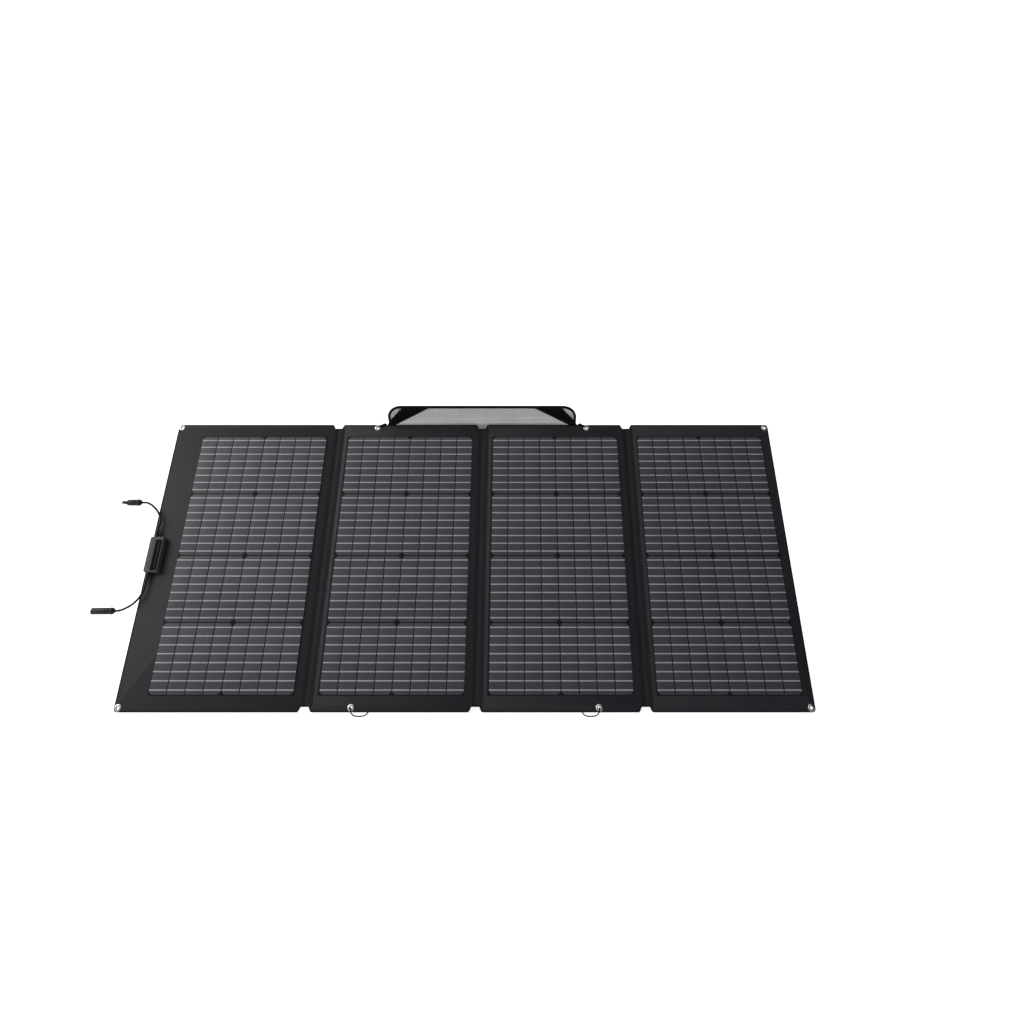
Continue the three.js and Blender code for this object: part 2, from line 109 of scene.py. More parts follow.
def patchOf(points, faces, uv=None, wear=0.0):
    points = np.asarray(points, float).reshape(-1, 3)
    if uv is None:
        uv = points[np.maximum(faces, 0)][..., :2] / 1000
    return {"points": points, "faces": faces, "uv": uv, "wear": np.broadcast_to(wear, len(points))}


def gridPatch(points, wrapRows=False, wrapCols=False, capStart=False, capEnd=False, wear=0.0):
    # quads between neighbouring rows and columns; UV is the mean arc length along rows and along columns
    points = np.asarray(points, float)
    rows, cols = points.shape[:2]
    i, j = np.meshgrid(np.arange(rows - (not wrapRows)), np.arange(cols - (not wrapCols)), indexing="ij")
    i, j = i.ravel(), j.ravel()
    ci, cj = np.stack([i, i, i + 1, i + 1], 1), np.stack([j, j + 1, j + 1, j], 1)
    stepDown = np.linalg.norm(np.roll(points, -1, 0) - points, axis=2).mean(1)
    stepOver = np.linalg.norm(np.roll(points, -1, 1) - points, axis=2).mean(0)
    down, over = np.concatenate([[0], np.cumsum(stepDown)]), np.concatenate([[0], np.cumsum(stepOver)])
    faces = (ci % rows) * cols + cj % cols
    uv = np.stack([down[ci], over[cj]], -1) / 1000
    flat = points.reshape(-1, 3)
    wear = np.broadcast_to(wear, points.shape[:2]).ravel() if np.ndim(wear) != 1 else np.repeat(wear, cols)
    for row in [0] * capStart + [rows - 1] * capEnd:
        ring = row * cols + np.arange(cols)
        hub = len(flat)
        fan = np.stack([ring, np.roll(ring, -1), np.full(cols, hub), np.full(cols, -1)], 1)
        flat, wear = np.vstack([flat, points[row].mean(0)]), np.append(wear, 0)
        faces, uv = np.vstack([faces, fan]), np.vstack([uv, flat[np.maximum(fan, 0)][..., :2] / 1000])
    return patchOf(flat, faces, uv, wear)


def turned(profile, sides=32, closed=False, wear=0.0):
    # (radius, height) profile turned about z
    profile = np.array(profile, float)
    angle = np.arange(sides) * 2 * np.pi / sides
    around = np.stack([np.cos(angle), np.sin(angle), np.ones(sides)], -1)
    return gridPatch(profile[:, None, [0, 0, 1]] * around, closed, True, not closed, not closed, wear)


def carried(path, profile, up, closed=False, swell=1.0, wear=0.0):
    # a flat profile carried along a path: x goes to tangent x up, y to the direction square to both
    path, profile = np.asarray(path, float), np.asarray(profile, float)
    ahead = np.roll(path, -1, 0) - np.roll(path, 1, 0) if closed else np.gradient(path, axis=0)
    side = np.cross(ahead, np.broadcast_to(up, ahead.shape))
    top = np.cross(side, ahead)
    side, top = (a / np.linalg.norm(a, axis=1, keepdims=True) for a in (side, top))
    swell = np.broadcast_to(np.asarray(swell, float).reshape(-1, 1, 1), (len(path), 1, 1))
    rings = path[:, None] + swell * (profile[None, :, :1] * side[:, None] + profile[None, :, 1:] * top[:, None])
    return gridPatch(rings, closed, True, not closed, not closed, wear)


def disc(radius, sides=16):
    # points of a circle, counted round its middle
    angle = np.arange(sides) * 2 * np.pi / sides
    return radius * np.stack([np.cos(angle), np.sin(angle)], 1)


def smoothPath(points, steps=10):
    # centripetal Catmull-Rom through the points
    p = np.array(points, float)
    p = np.vstack([2 * p[0] - p[1], p, 2 * p[-1] - p[-2]])
    a, b, c, d = p[:-3], p[1:-2], p[2:-1], p[3:]
    ab, bc, cd = (np.linalg.norm(v - u, axis=1, keepdims=True) ** 0.5 for u, v in ((a, b), (b, c), (c, d)))
    leave = ((b - a) / ab - (c - a) / (ab + bc) + (c - b) / bc) * bc
    arrive = ((c - b) / bc - (d - b) / (bc + cd) + (d - c) / cd) * bc
    t = np.linspace(0, 1, steps, endpoint=False)[:, None, None]
    line = ((2 * t ** 3 - 3 * t ** 2 + 1) * b + (t ** 3 - 2 * t ** 2 + t) * leave
            + (3 * t ** 2 - 2 * t ** 3) * c + (t ** 3 - t ** 2) * arrive)
    return np.vstack([line.transpose(1, 0, 2).reshape(-1, p.shape[1]), p[-2]])


def softCorners(corners, cuts, closed=True, steps=6):
    # each corner is replaced by a parabola that starts and ends a cut's length away from it
    p, cuts = np.array(corners, float), np.broadcast_to(np.asarray(cuts, float), len(corners))[:, None]
    toward = lambda q: (q - p) / np.maximum(np.linalg.norm(q - p, axis=1, keepdims=True), 1e-9)
    a, b = p + cuts * toward(np.roll(p, 1, 0)), p + cuts * toward(np.roll(p, -1, 0))
    t = np.linspace(0, 1, steps)[:, None, None]
    arcs = ((1 - t) ** 2 * a + 2 * t * (1 - t) * p + t ** 2 * b).transpose(1, 0, 2)
    if closed:
        return arcs.reshape(-1, 2)
    return np.vstack([p[:1], arcs[1:-1].reshape(-1, 2), p[-1:]])


def loopOf(halfX, halfY, radius, corner=8, straight=1, middle=(0, 0)):
    # rounded rectangle, anticlockwise from the right end of its bottom side; straight = points along each side
    radius = max(min(radius, halfX - 0.01, halfY - 0.01), 0.05)
    angle = np.linspace(0, np.pi / 2, corner)
    arc = radius * np.stack([np.cos(angle), np.sin(angle)], 1)
    turns = [arc @ np.array([[np.cos(q), np.sin(q)], [-np.sin(q), np.cos(q)]]) for q in np.arange(-1, 3) * np.pi
             / 2]
    hubs = np.array([[1, -1], [1, 1], [-1, 1], [-1, -1]]) * [halfX - radius, halfY - radius]
    runs = [hub + turn for hub, turn in zip(hubs, turns)]
    between = np.linspace(0, 1, straight + 1)[1:-1, None] if straight > 1 else np.zeros((0, 1))
    pieces = [np.vstack([run, run[-1] + between * (after[0] - run[-1])]) for run,
              after in zip(runs, runs[1:] + runs[:1])]
    return np.vstack(pieces) + middle


def raised(loop, height):
    # a flat loop lifted to a height
    return np.column_stack([loop, np.broadcast_to(height, len(loop))])


def boxShell(halfX, halfY, radius, rows, corner=8, straight=1, middle=(0, 0), capStart=True, capEnd=True,
             wear=0.0):
    # rounded rectangles stacked by (inset, height) rows
    rings = [raised(loopOf(halfX - inset, halfY - inset, radius - inset, corner, straight, middle), height)
             for inset, height in rows]
    return gridPatch(np.array(rings), False, True, capStart, capEnd, wear)


def inset(loop, depth):
    # each corner of a closed anticlockwise loop moved inwards along its mitre
    ahead = np.roll(loop, -1, 0) - loop
    ahead /= np.maximum(np.linalg.norm(ahead, axis=1, keepdims=True), 1e-9)
    inward = np.stack([-ahead[:, 1], ahead[:, 0]], 1)
    before = np.roll(inward, 1, 0)
    return loop + depth * (inward + before) / np.maximum(1 + (inward * before).sum(1, keepdims=True), 0.3)


def plate(outline, holes, back, front, edge):
    # an outline with holes given a thickness and rounded rims; the flat faces are filled with triangles
    rows = [(edge, back), (0.3 * edge, back + 0.3 * edge), (0, back + edge),
            (0, front - edge), (0.3 * edge, front - 0.3 * edge), (edge, front)]
    rings = np.array([raised(inset(outline, d), z) for d, z in rows])
    sides = [gridPatch(rings, False, True, wear=np.array([0.2, 1, 0.5, 0.5, 1, 0.2]))]
    sides += [gridPatch(np.array([raised(hole, back), raised(hole, front)]), False, True) for hole in holes]
    flat = [rings[0][:, :2], *holes]
    triangles = np.array(tessellate_polygon([[Vector((*p, 0)) for p in loop] for loop in flat]))
    triangles = np.column_stack([triangles, np.full(len(triangles), -1)])
    ends = [patchOf(raised(np.vstack(flat), z), triangles) for z in (back, front)]
    return sides + ends


def scattered(patch, places, turns=0.0):
    # the same patch at many places, each turned about z by its own angle
    places = np.asarray(places, float)
    turns = np.broadcast_to(turns, len(places))
    c, s = np.cos(turns)[:, None], np.sin(turns)[:, None]
    x, y, z = patch["points"].T
    points = np.stack([c * x - s * y, s * x + c * y, np.broadcast_to(z, (len(places), len(z)))],
                      -1) + places[:, None]
    shift = (np.arange(len(places)) * len(x))[:, None, None]
    faces = np.where(patch["faces"] < 0, -1, patch["faces"] + shift).reshape(-1, 4)
    uv = (patch["uv"][None] + places[:, None, None, :2] / 1000).reshape(-1, 4, 2)
    return patchOf(points, faces, uv, np.tile(patch["wear"], len(places)))


def moved(patch, axes=None, place=(0, 0, 0)):
    # a patch turned onto other axes (rows are where x, y and z go) and shifted
    points = patch["points"] if axes is None else patch["points"] @ np.array(axes, float)
    return {**patch, "points": points + np.asarray(place, float)}


def putMesh(name, patches, stand, finish, body=None, node=None, smooth=38):
    # patches joined into one object at the origin, normals outwards, with its finish as material; it rides its
    # body and stands for its node where these are given; smooth is the angle above which an edge stays sharp
    patches = patches if isinstance(patches, list) else [patches]
    starts = np.cumsum([0] + [len(p["points"]) for p in patches])
    points = inRow(np.vstack([p["points"] for p in patches]), stand)
    faces = np.vstack([np.where(p["faces"] < 0, -1, p["faces"] + s) for p, s in zip(patches, starts)])
    real = faces >= 0
    corners, counts = faces[real], real.sum(1)
    mesh = bpy.data.meshes.new(name)
    mesh.vertices.add(len(points))
    mesh.vertices.foreach_set("co", points.astype(np.float32).ravel())
    mesh.loops.add(len(corners))
    mesh.loops.foreach_set("vertex_index", corners.astype(np.int32))
    mesh.polygons.add(len(counts))
    mesh.polygons.foreach_set("loop_start", (np.cumsum(counts) - counts).astype(np.int32))
    mesh.update(calc_edges=True)
    mesh.uv_layers.new(name="UVMap").data.foreach_set(
        "uv", np.vstack([p["uv"] for p in patches])[real].astype(np.float32).ravel())
    mesh.attributes.new("wear", "FLOAT", "POINT").data.foreach_set(
        "value", np.concatenate([p["wear"] for p in patches]).astype(np.float32))
    mesh.validate()
    work = bmesh.new()
    work.from_mesh(mesh)
    bmesh.ops.remove_doubles(work, verts=work.verts, dist=weldDistance)
    bmesh.ops.recalc_face_normals(work, faces=work.faces)
    work.to_mesh(mesh)
    work.free()
    mesh.polygons.foreach_set("use_smooth", np.ones(len(mesh.polygons), bool))
    mesh.set_sharp_from_angle(angle=np.radians(smooth))
    mesh.materials.append(finishes[finish])
    piece = bpy.data.objects.new(name, mesh)
    bpy.context.scene.collection.objects.link(piece)
    if body:
        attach(piece, body)
    if node:
        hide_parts(node)
    return piece


def slow(x, y, seed):
    # gentle unevenness between -1 and 1: three crossing sine waves
    return (np.sin(x / 61 + seed) * np.cos(y / 83 - seed) + np.sin(x / 37 - y / 53 + 2 * seed)
            + np.cos(x / 97 + y / 41 + 3 * seed)) / 3


def bell(x, reach):
    # one in the middle, falling to nothing at the reach along half a cosine
    return np.where(np.abs(x) < reach, 0.5 + 0.5 * np.cos(np.pi * x / reach), 0)


# shader nodes

def newNode(tree, kind, inputs, **settings):
    # a node with its settings made and its inputs fed; a value is a socket, a number or a colour
    node = tree.nodes.new("ShaderNode" + kind)
    for key, value in settings.items():
        setattr(node, key, value)
    for key, value in inputs.items():
        if isinstance(value, bpy.types.NodeSocket):
            tree.links.new(value, node.inputs[key])
        else:
            node.inputs[key].default_value = value if np.ndim(value) == 0 else (*value, 1)
    return node


def maths(tree, operation, *values, clamp=False):
    return newNode(tree, "Math", dict(enumerate(values)), operation=operation, use_clamp=clamp).outputs[0]


def mixed(tree, factor, a, b, blend="MIX"):
    return newNode(tree, "Mix", {0: factor, 6: a, 7: b}, data_type="RGBA", blend_type=blend).outputs[2]


def scaled(tree, vector, factor):
    return newNode(tree, "VectorMath", {0: vector, "Scale": factor}, operation="SCALE").outputs[0]


def partsOf(tree, vector):
    return newNode(tree, "SeparateXYZ", {0: vector}).outputs


def noiseOf(tree, vector, scale, detail=3.0, roughness=0.5):
    inputs = {"Vector": scaled(tree, vector, scale), "Scale": 1.0, "Detail": detail, "Roughness": roughness}
    return newNode(tree, "TexNoise", inputs).outputs[0]


# surface effects: each takes its group's tree, maths in that tree and the group's inputs, and gives its outputs

def weave(tree, m, given):
    # threads rise and fall as the product of two sines, taken on each pair of axes
    axes = partsOf(tree, scaled(tree, given["Vector"], given["Threads"]))
    waves = [m("SINE", m("MULTIPLY", axis, np.pi)) for axis in axes]
    pairs = [m("ABSOLUTE", m("MULTIPLY", waves[a], waves[b])) for a, b in ((0, 1), (1, 2), (2, 0))]
    crossing = m("ADD", m("ADD", pairs[0], pairs[1]), pairs[2], clamp=True)
    fuzz = noiseOf(tree, given["Vector"], 420.0, 2.0)
    return {"Height": crossing, "Tone": m("MULTIPLY_ADD", crossing, 0.6, m("MULTIPLY", fuzz, 0.4))}


def rib(tree, m, given):
    # webbing ribs across a band, broken along it by a slower wave
    across, along = partsOf(tree, scaled(tree, given["Vector"], given["Ribs"]))[:2]
    ribs = m("ABSOLUTE", m("SINE", m("MULTIPLY", across, np.pi)))
    picks = m("ABSOLUTE", m("SINE", m("MULTIPLY", along, np.pi * 0.5)))
    height = m("MULTIPLY", ribs, m("MULTIPLY_ADD", picks, 0.35, 0.65))
    return {"Height": height, "Tone": m("MULTIPLY_ADD", height, 0.7, 0.3)}


def grain(tree, m, given):
    # moulded or dimpled surface, two sizes of noise
    fine = noiseOf(tree, given["Vector"], given["Grains"], 2.0, 0.6)
    broad = noiseOf(tree, given["Vector"], 70.0)
    return {"Height": fine, "Tone": m("MULTIPLY_ADD", broad, 0.6, m("MULTIPLY", fine, 0.4))}


def fingers(tree, m, given):
    # thin printed lines that run up the cells, with a faint grain between them
    across = partsOf(tree, given["Vector"])[0]
    wave = m("COSINE", m("MULTIPLY", m("MULTIPLY", across, given["Lines"]), 2 * np.pi))
    lines = m("POWER", m("MULTIPLY_ADD", wave, 0.5, 0.5), 12.0)
    skin = noiseOf(tree, given["Vector"], 620.0, 2.0)
    return {"Height": skin, "Tone": m("MULTIPLY_ADD", lines, 0.5, m("MULTIPLY", skin, 0.4))}


def mottle(tree, m, given):
    # slow uneven patches
    patches = noiseOf(tree, given["Vector"], given["Patches"], 5.0, 0.6)
    return {"Mask": m("MULTIPLY_ADD", m("SUBTRACT", patches, 0.5), 2.2, 0.5, clamp=True)}


def edgeWearAndShade(tree, m, given):
    # the edge value broken up by noise; it marks worn edges, and painted shade in the eyelet barrels and at the
    # linings' far ends
    chips = noiseOf(tree, given["Vector"], 160.0, 4.0, 0.7)
    wornAndShaded = m("MULTIPLY", given["Edge"], m("MULTIPLY_ADD", chips, 2.6, -0.75), clamp=True)
    return {"Mask": m("MULTIPLY", wornAndShaded, given["Amount"], clamp=True)}


def dust(tree, m, given):
    # settles on faces that look upwards, in patches
    upward = partsOf(tree, tree.nodes.new("ShaderNodeNewGeometry").outputs["Normal"])[2]
    motes = noiseOf(tree, given["Vector"], 45.0, 6.0, 0.7)
    settled = m("MULTIPLY", m("MAXIMUM", upward, 0.0), m("SUBTRACT", motes, 0.32, clamp=True))
    return {"Mask": m("MULTIPLY", settled, given["Amount"], clamp=True)}


def effectGroup(name, recipe, numbers):
    tree = bpy.data.node_groups.new(name, "ShaderNodeTree")
    tree.interface.new_socket(name="Vector", in_out="INPUT", socket_type="NodeSocketVector")
    for label, value in numbers.items():
        socket = tree.interface.new_socket(name=label, in_out="INPUT", socket_type="NodeSocketFloat")
        socket.default_value = value
    results = recipe(tree, partial(maths, tree), tree.nodes.new("NodeGroupInput").outputs)
    for label in results:
        tree.interface.new_socket(name=label, in_out="OUTPUT", socket_type="NodeSocketFloat")
    ending = tree.nodes.new("NodeGroupOutput")
    for label, socket in results.items():
        tree.links.new(socket, ending.inputs[label])
    return tree


groups = {"weave": effectGroup("clothWeave", weave, {"Threads": 900.0}),
          "rib": effectGroup("webRib", rib, {"Ribs": 600.0}),
          "grain": effectGroup("mouldGrain", grain, {"Grains": 900.0}),
          "fingers": effectGroup("cellFingers", fingers, {"Lines": 700.0}),
          "mottle": effectGroup("slowMottle", mottle, {"Patches": 14.0}),
          "edgeWearAndShade": effectGroup("edgeWearAndShade", edgeWearAndShade, {"Amount": 0.3, "Edge": 0.0}),
          "dust": effectGroup("settledDust", dust, {"Amount": 0.1})}

# what a look has unless it says otherwise, and the shader's own words for its short ones
plainLook = {"turn": 0, "onUv": False, "patches": 14.0, "contrast": 0.5, "bump": 0.4, "depth": 0.0002,
             "roughSpread": 0.12, "wear": 0, "dust": 0, "dustColour": (0.35, 0.34, 0.32)}
shaderWords = {"shine": "Specular IOR Level", "sheen": "Sheen Weight", "sheenRough": "Sheen Roughness",
               "metal": "Metallic", "coat": "Coat Weight", "coatRough": "Coat Roughness"}


def finishOf(name, look):
    # two close colours mottled together, a thread or grain pattern over them, pale wear on edges and light
    # dust;
    # a dark second colour in the eyelets and linings is painted shade
    v = {**plainLook, **look}
    material = bpy.data.materials.new(name)
    material.use_nodes = True
    tree = material.node_tree
    shader = tree.nodes["Principled BSDF"]
    where = tree.nodes.new("ShaderNodeTexCoord").outputs["UV" if v["onUv"] else "Object"]
    place = newNode(tree, "Mapping", {"Vector": where})
    place.inputs["Rotation"].default_value = (-np.radians(v["turn"]), 0, 0)

    def effect(group, value):
        return newNode(tree, "Group", {0: place.outputs[0], 1: value}, node_tree=groups[group])

    surface, mask = effect(*v["pattern"]).outputs, effect("mottle", v["patches"]).outputs[0]
    colour = mixed(tree, mask, v["dark"], v["light"])
    tone = maths(tree, "MULTIPLY_ADD", surface["Tone"], v["contrast"], 1 - 0.5 * v["contrast"])
    grey = newNode(tree, "CombineColor", {0: tone, 1: tone, 2: tone})
    colour = mixed(tree, 1.0, colour, grey.outputs[0], "MULTIPLY")
    if v["wear"]:
        wornAndShaded = effect("edgeWearAndShade", v["wear"])
        edge = newNode(tree, "Attribute", {}, attribute_name="wear")
        tree.links.new(edge.outputs["Fac"], wornAndShaded.inputs["Edge"])
        colour = mixed(tree, wornAndShaded.outputs[0], colour, v["wornAndShaded"])
    if v["dust"]:
        colour = mixed(tree, effect("dust", v["dust"]).outputs[0], colour, v["dustColour"])
    rough = maths(tree, "MULTIPLY_ADD", mask, v["roughSpread"], v["rough"] - 0.5 * v["roughSpread"])
    bump = newNode(tree, "Bump", {"Strength": v["bump"], "Distance": v["depth"], "Height": surface["Height"]})
    for label, socket in (("Base Color", colour), ("Roughness", rough), ("Normal", bump.outputs[0])):
        tree.links.new(socket, shader.inputs[label])
    for word, label in shaderWords.items():
        if word in v:
            shader.inputs[label].default_value = v[word]
    return material


# looks: colours in linear light, pattern repeats to the metre, bump depth in metres
caseCloth = {
    "dark": (0.013, 0.013, 0.0138), "light": (0.0225, 0.0225, 0.0235), "pattern": ("weave", 1150),
    "contrast": 0.75, "depth": 0.00025, "bump": 0.6, "rough": 0.72, "wear": 0.35,
    "wornAndShaded": (0.05, 0.05, 0.05), "dust": 0.1, "shine": 0.35, "sheen": 0.08, "sheenRough": 0.4}
looks = {
    "panelFabric": {
        "dark": (0.0098, 0.0098, 0.0142), "light": (0.014, 0.014, 0.0192), "pattern": ("weave", 1100),
        "turn": panelLean, "contrast": 0.35, "depth": 0.00008, "bump": 0.35, "rough": 0.5, "wear": 0.2,
        "wornAndShaded": (0.05, 0.05, 0.055), "dust": 0.03, "shine": 0.33, "sheen": 0.02, "sheenRough": 0.5},
    "foldFabric": {
        "dark": (0.01, 0.01, 0.0138), "light": (0.014, 0.014, 0.0185), "pattern": ("weave", 1000),
        "onUv": True, "contrast": 0.4, "depth": 0.0001, "rough": 0.62, "shine": 0.2, "sheen": 0.02},
    "bindingTape": {
        "dark": (0.0022, 0.0022, 0.0025), "light": (0.0042, 0.0042, 0.0046), "pattern": ("rib", 900),
        "onUv": True, "bump": 0.5, "rough": 0.8, "shine": 0.08},
    "backFilm": {
        "dark": (0.0055, 0.0055, 0.0072), "light": (0.008, 0.008, 0.0102), "pattern": ("grain", 800),
        "turn": panelLean, "contrast": 0.3, "depth": 0.00006, "bump": 0.3, "rough": 0.5, "wear": 0.3,
        "wornAndShaded": (0.02, 0.02, 0.024), "shine": 0.14},
    "cellGlass": {
        "dark": (0.0395, 0.0375, 0.0475), "light": (0.0505, 0.0485, 0.0605), "pattern": ("fingers", 640),
        "turn": panelLean, "patches": 9.0, "depth": 0.00004, "bump": 0.3, "rough": 0.42, "shine": 0.5,
        "coat": 0.12, "coatRough": 0.36},
    "ribbonTin": {
        "dark": (0.34, 0.332, 0.362), "light": (0.43, 0.421, 0.455), "pattern": ("grain", 500),
        "turn": panelLean, "contrast": 0.25, "depth": 0.00004, "bump": 0.3, "rough": 0.4, "metal": 0.2},
    # eyelets: the near-black second colour is painted shade and dark reflection in the barrel and on the
    # washer's inner edge, with light wear on the rim
    "nickelPlate": {
        "dark": (0.62, 0.62, 0.63), "light": (0.82, 0.82, 0.83), "pattern": ("grain", 400), "patches": 220.0,
        "contrast": 0.12, "depth": 0.00003, "bump": 0.2, "rough": 0.2, "wear": 1.0,
        "wornAndShaded": (0.025, 0.025, 0.024), "metal": 1.0},
    "boxPlastic": {
        "dark": (0.056, 0.056, 0.058), "light": (0.075, 0.075, 0.077), "pattern": ("grain", 1400),
        "patches": 60.0, "contrast": 0.3, "depth": 0.00009, "rough": 0.5, "wear": 0.5,
        "wornAndShaded": (0.12, 0.12, 0.12), "dust": 0.08},
    "blackPlastic": {
        "dark": (0.004, 0.004, 0.0043), "light": (0.007, 0.007, 0.0075), "pattern": ("grain", 1600),
        "patches": 90.0, "contrast": 0.3, "depth": 0.00006, "bump": 0.3, "rough": 0.42, "wear": 0.5,
        "wornAndShaded": (0.05, 0.05, 0.05), "shine": 0.35},
    "slotShade": {
        "dark": (0.0018, 0.0018, 0.002), "light": (0.003, 0.003, 0.0033), "pattern": ("grain", 1500),
        "patches": 90.0, "contrast": 0.3, "depth": 0.00004, "bump": 0.3, "rough": 0.55, "shine": 0.1},
    "softRubber": {
        "dark": (0.008, 0.008, 0.008), "light": (0.014, 0.014, 0.014), "pattern": ("grain", 1100),
        "patches": 80.0, "contrast": 0.3, "depth": 0.00008, "rough": 0.68, "wear": 0.3,
        "wornAndShaded": (0.05, 0.05, 0.05)},
    "cordJacket": {
        "dark": (0.004, 0.004, 0.0045), "light": (0.007, 0.007, 0.0075), "pattern": ("grain", 700),
        "patches": 50.0, "contrast": 0.25, "depth": 0.00005, "bump": 0.3, "rough": 0.4, "shine": 0.32},
    "braidedElastic": {
        "dark": (0.0025, 0.0025, 0.0026), "light": (0.007, 0.007, 0.0072), "pattern": ("weave", 1300),
        "onUv": True, "contrast": 0.7, "depth": 0.0003, "bump": 0.7, "rough": 0.8, "shine": 0.1},
    "circuitGreen": {
        "dark": (0.008, 0.05, 0.02), "light": (0.014, 0.075, 0.03), "pattern": ("grain", 600),
        "patches": 120.0, "contrast": 0.3, "depth": 0.00003, "rough": 0.35, "coat": 0.4},
    "contactMetal": {
        "dark": (0.55, 0.42, 0.28), "light": (0.7, 0.6, 0.48), "pattern": ("grain", 700), "patches": 300.0,
        "contrast": 0.15, "depth": 0.00003, "rough": 0.28, "metal": 1.0},
    "caseFabric": caseCloth,
    "lidFabric": {**caseCloth, "turn": lidLean},
    "spineFabric": {**caseCloth, "onUv": True, "wear": 0, "dust": 0, "sheen": 0},
    # linings: the darker grey second colour is painted shade, darkening each cloth towards its far end
    "silverLining": {
        "dark": (0.86, 0.86, 0.865), "light": (0.94, 0.94, 0.945), "pattern": ("weave", 700), "onUv": True,
        "patches": 18.0, "contrast": 0.18, "depth": 0.00012, "bump": 0.35, "rough": 0.42, "wear": 0.6,
        "wornAndShaded": (0.45, 0.45, 0.455), "metal": 0.3},
    "webbingCloth": {
        "dark": (0.002, 0.002, 0.0021), "light": (0.0048, 0.0048, 0.005), "pattern": ("rib", 520),
        "onUv": True, "contrast": 0.7, "depth": 0.0004, "bump": 0.7, "rough": 0.78, "wear": 0.25,
        "wornAndShaded": (0.02, 0.02, 0.02), "shine": 0.08},
    "handleWebbing": {
        "dark": (0.0065, 0.0065, 0.0068), "light": (0.0135, 0.0135, 0.014), "pattern": ("rib", 420),
        "onUv": True, "contrast": 0.8, "depth": 0.0005, "bump": 0.8, "rough": 0.66, "wear": 0.4,
        "wornAndShaded": (0.05, 0.05, 0.05), "shine": 0.35, "sheen": 0.05},
    "seamThread": {
        "dark": (0.02, 0.02, 0.021), "light": (0.035, 0.035, 0.036), "pattern": ("rib", 2200), "onUv": True,
        "rough": 0.7},
    "zipNylon": {
        "dark": (0.007, 0.007, 0.007), "light": (0.013, 0.013, 0.013), "pattern": ("grain", 1500),
        "contrast": 0.3, "depth": 0.00005, "rough": 0.4},
    "blackMetal": {
        "dark": (0.01, 0.01, 0.0105), "light": (0.018, 0.018, 0.0185), "pattern": ("grain", 900),
        "patches": 120.0, "contrast": 0.25, "depth": 0.00004, "bump": 0.3, "rough": 0.32, "wear": 0.7,
        "wornAndShaded": (0.3, 0.29, 0.27), "metal": 0.7},
}
finishes = {name: finishOf(name, look) for name, look in looks.items()}
print("finishes mixed")

# output leads: routes across (from the panel's left edge) and up the panel, at the lead's height off its front
leads = {"diameter": 6, "height": 10, "steps": 12,
         "upper": [(12, 486.4), (12, 491), (13.6, 500), (13.8, 509), (9.6, 521), (2, 533.6), (-10, 547),
                   (-24.5, 558), (-38, 564), (-50, 564.6), (-54, 564.6)],
         "lower": [(12, 333.6), (12, 328), (11.4, 314), (8.2, 300), (2, 287.4), (-9, 274), (-23, 263.6),
                   (-38, 256.6), (-50, 254.1), (-55, 254)]}
connector = {"stout": 1.12, "nutRear": 5.2, "nut": 8.4, "nutLength": 15, "gap": 0.3, "ribs": 12,
             "ribDepth": 0.5, "flatDepth": 0.9, "flatAt": 32, "flatReach": 9, "flatHalf": 3.2}


def leadPiece(name, route, node):
    line = smoothPath([(x, y, leads["height"]) for x, y in route], leads["steps"])
    tube = carried(line, disc(leads["diameter"] / 2, 20), (0, 0, 1))
    return putMesh(name, tube, panelStand, "cordJacket", "section_1", node), line


def gripped(rows, depth, bite, wear):
    # a turned profile of (radius, height, share of the grip's depth), cut back where bite is true round it
    rows, angle = np.array(rows), np.arange(len(bite)) * 2 * np.pi / len(bite)
    radius = rows[:, :1] - depth * rows[:, 2:] * bite
    rings = np.stack([radius * np.cos(angle), radius * np.sin(angle), rows[:, 1:2] + 0 * radius], -1)
    return gridPatch(rings, False, True, True, True, wear=np.array(wear))


def capNut(rear, front, length, ribs, depth):
    # a cap nut whose radius waves round the grip
    rows = [(rear - 1.5, 0.3, 0), (rear, 0.3, 0), (rear + 0.5, 1, 0), (front - 0.7, 4.6, 0.3), (front, 6, 1),
            (front, length - 2.4, 1), (front - 0.4, length - 1.4, 0.3), (front - 1.1, length, 0)]
    angle = np.arange(ribs * 6) * 2 * np.pi / (ribs * 6)
    return gripped(rows, depth, np.abs(np.sin(angle * ribs / 2)) < 0.35, [0, .2, .5, .2, 1, 1, .6, .2])


def plugPiece(name, line, patches, finish, node=None):
    # connector patches: z runs on along the end of the lead, x is square to the panel
    ahead = line[-1] - line[-2]
    ahead /= np.linalg.norm(ahead)
    axes = [connector["stout"] * np.cross((0, 0, 1), ahead), (0, 0, connector["stout"]), ahead]
    parts = [moved(patch, axes, line[-1]) for patch in patches]
    return putMesh(name, parts, panelStand, finish, "section_1", node)


def pastNut(profile, sides, closed=False, wear=0.0):
    # a turned profile whose heights are counted from the end of the nut
    return turned(np.array(profile) + (0, plugStart), sides, closed, wear)


upperLead, upperLine = leadPiece("lead_upper_cable", leads["upper"], "lead_upper")
lowerLead, lowerLine = leadPiece("lead_lower_cable", leads["lower"], "lead_lower")
nut = [capNut(*(connector[key] for key in ("nutRear", "nut", "nutLength", "ribs", "ribDepth")))]
plugStart = connector["nutLength"] + connector["gap"]
maleNut = plugPiece("male_nut", upperLine, nut, "blackPlastic", "male_connector_nut")
femaleNut = plugPiece("female_nut", lowerLine, nut, "blackPlastic", "female_connector_nut")

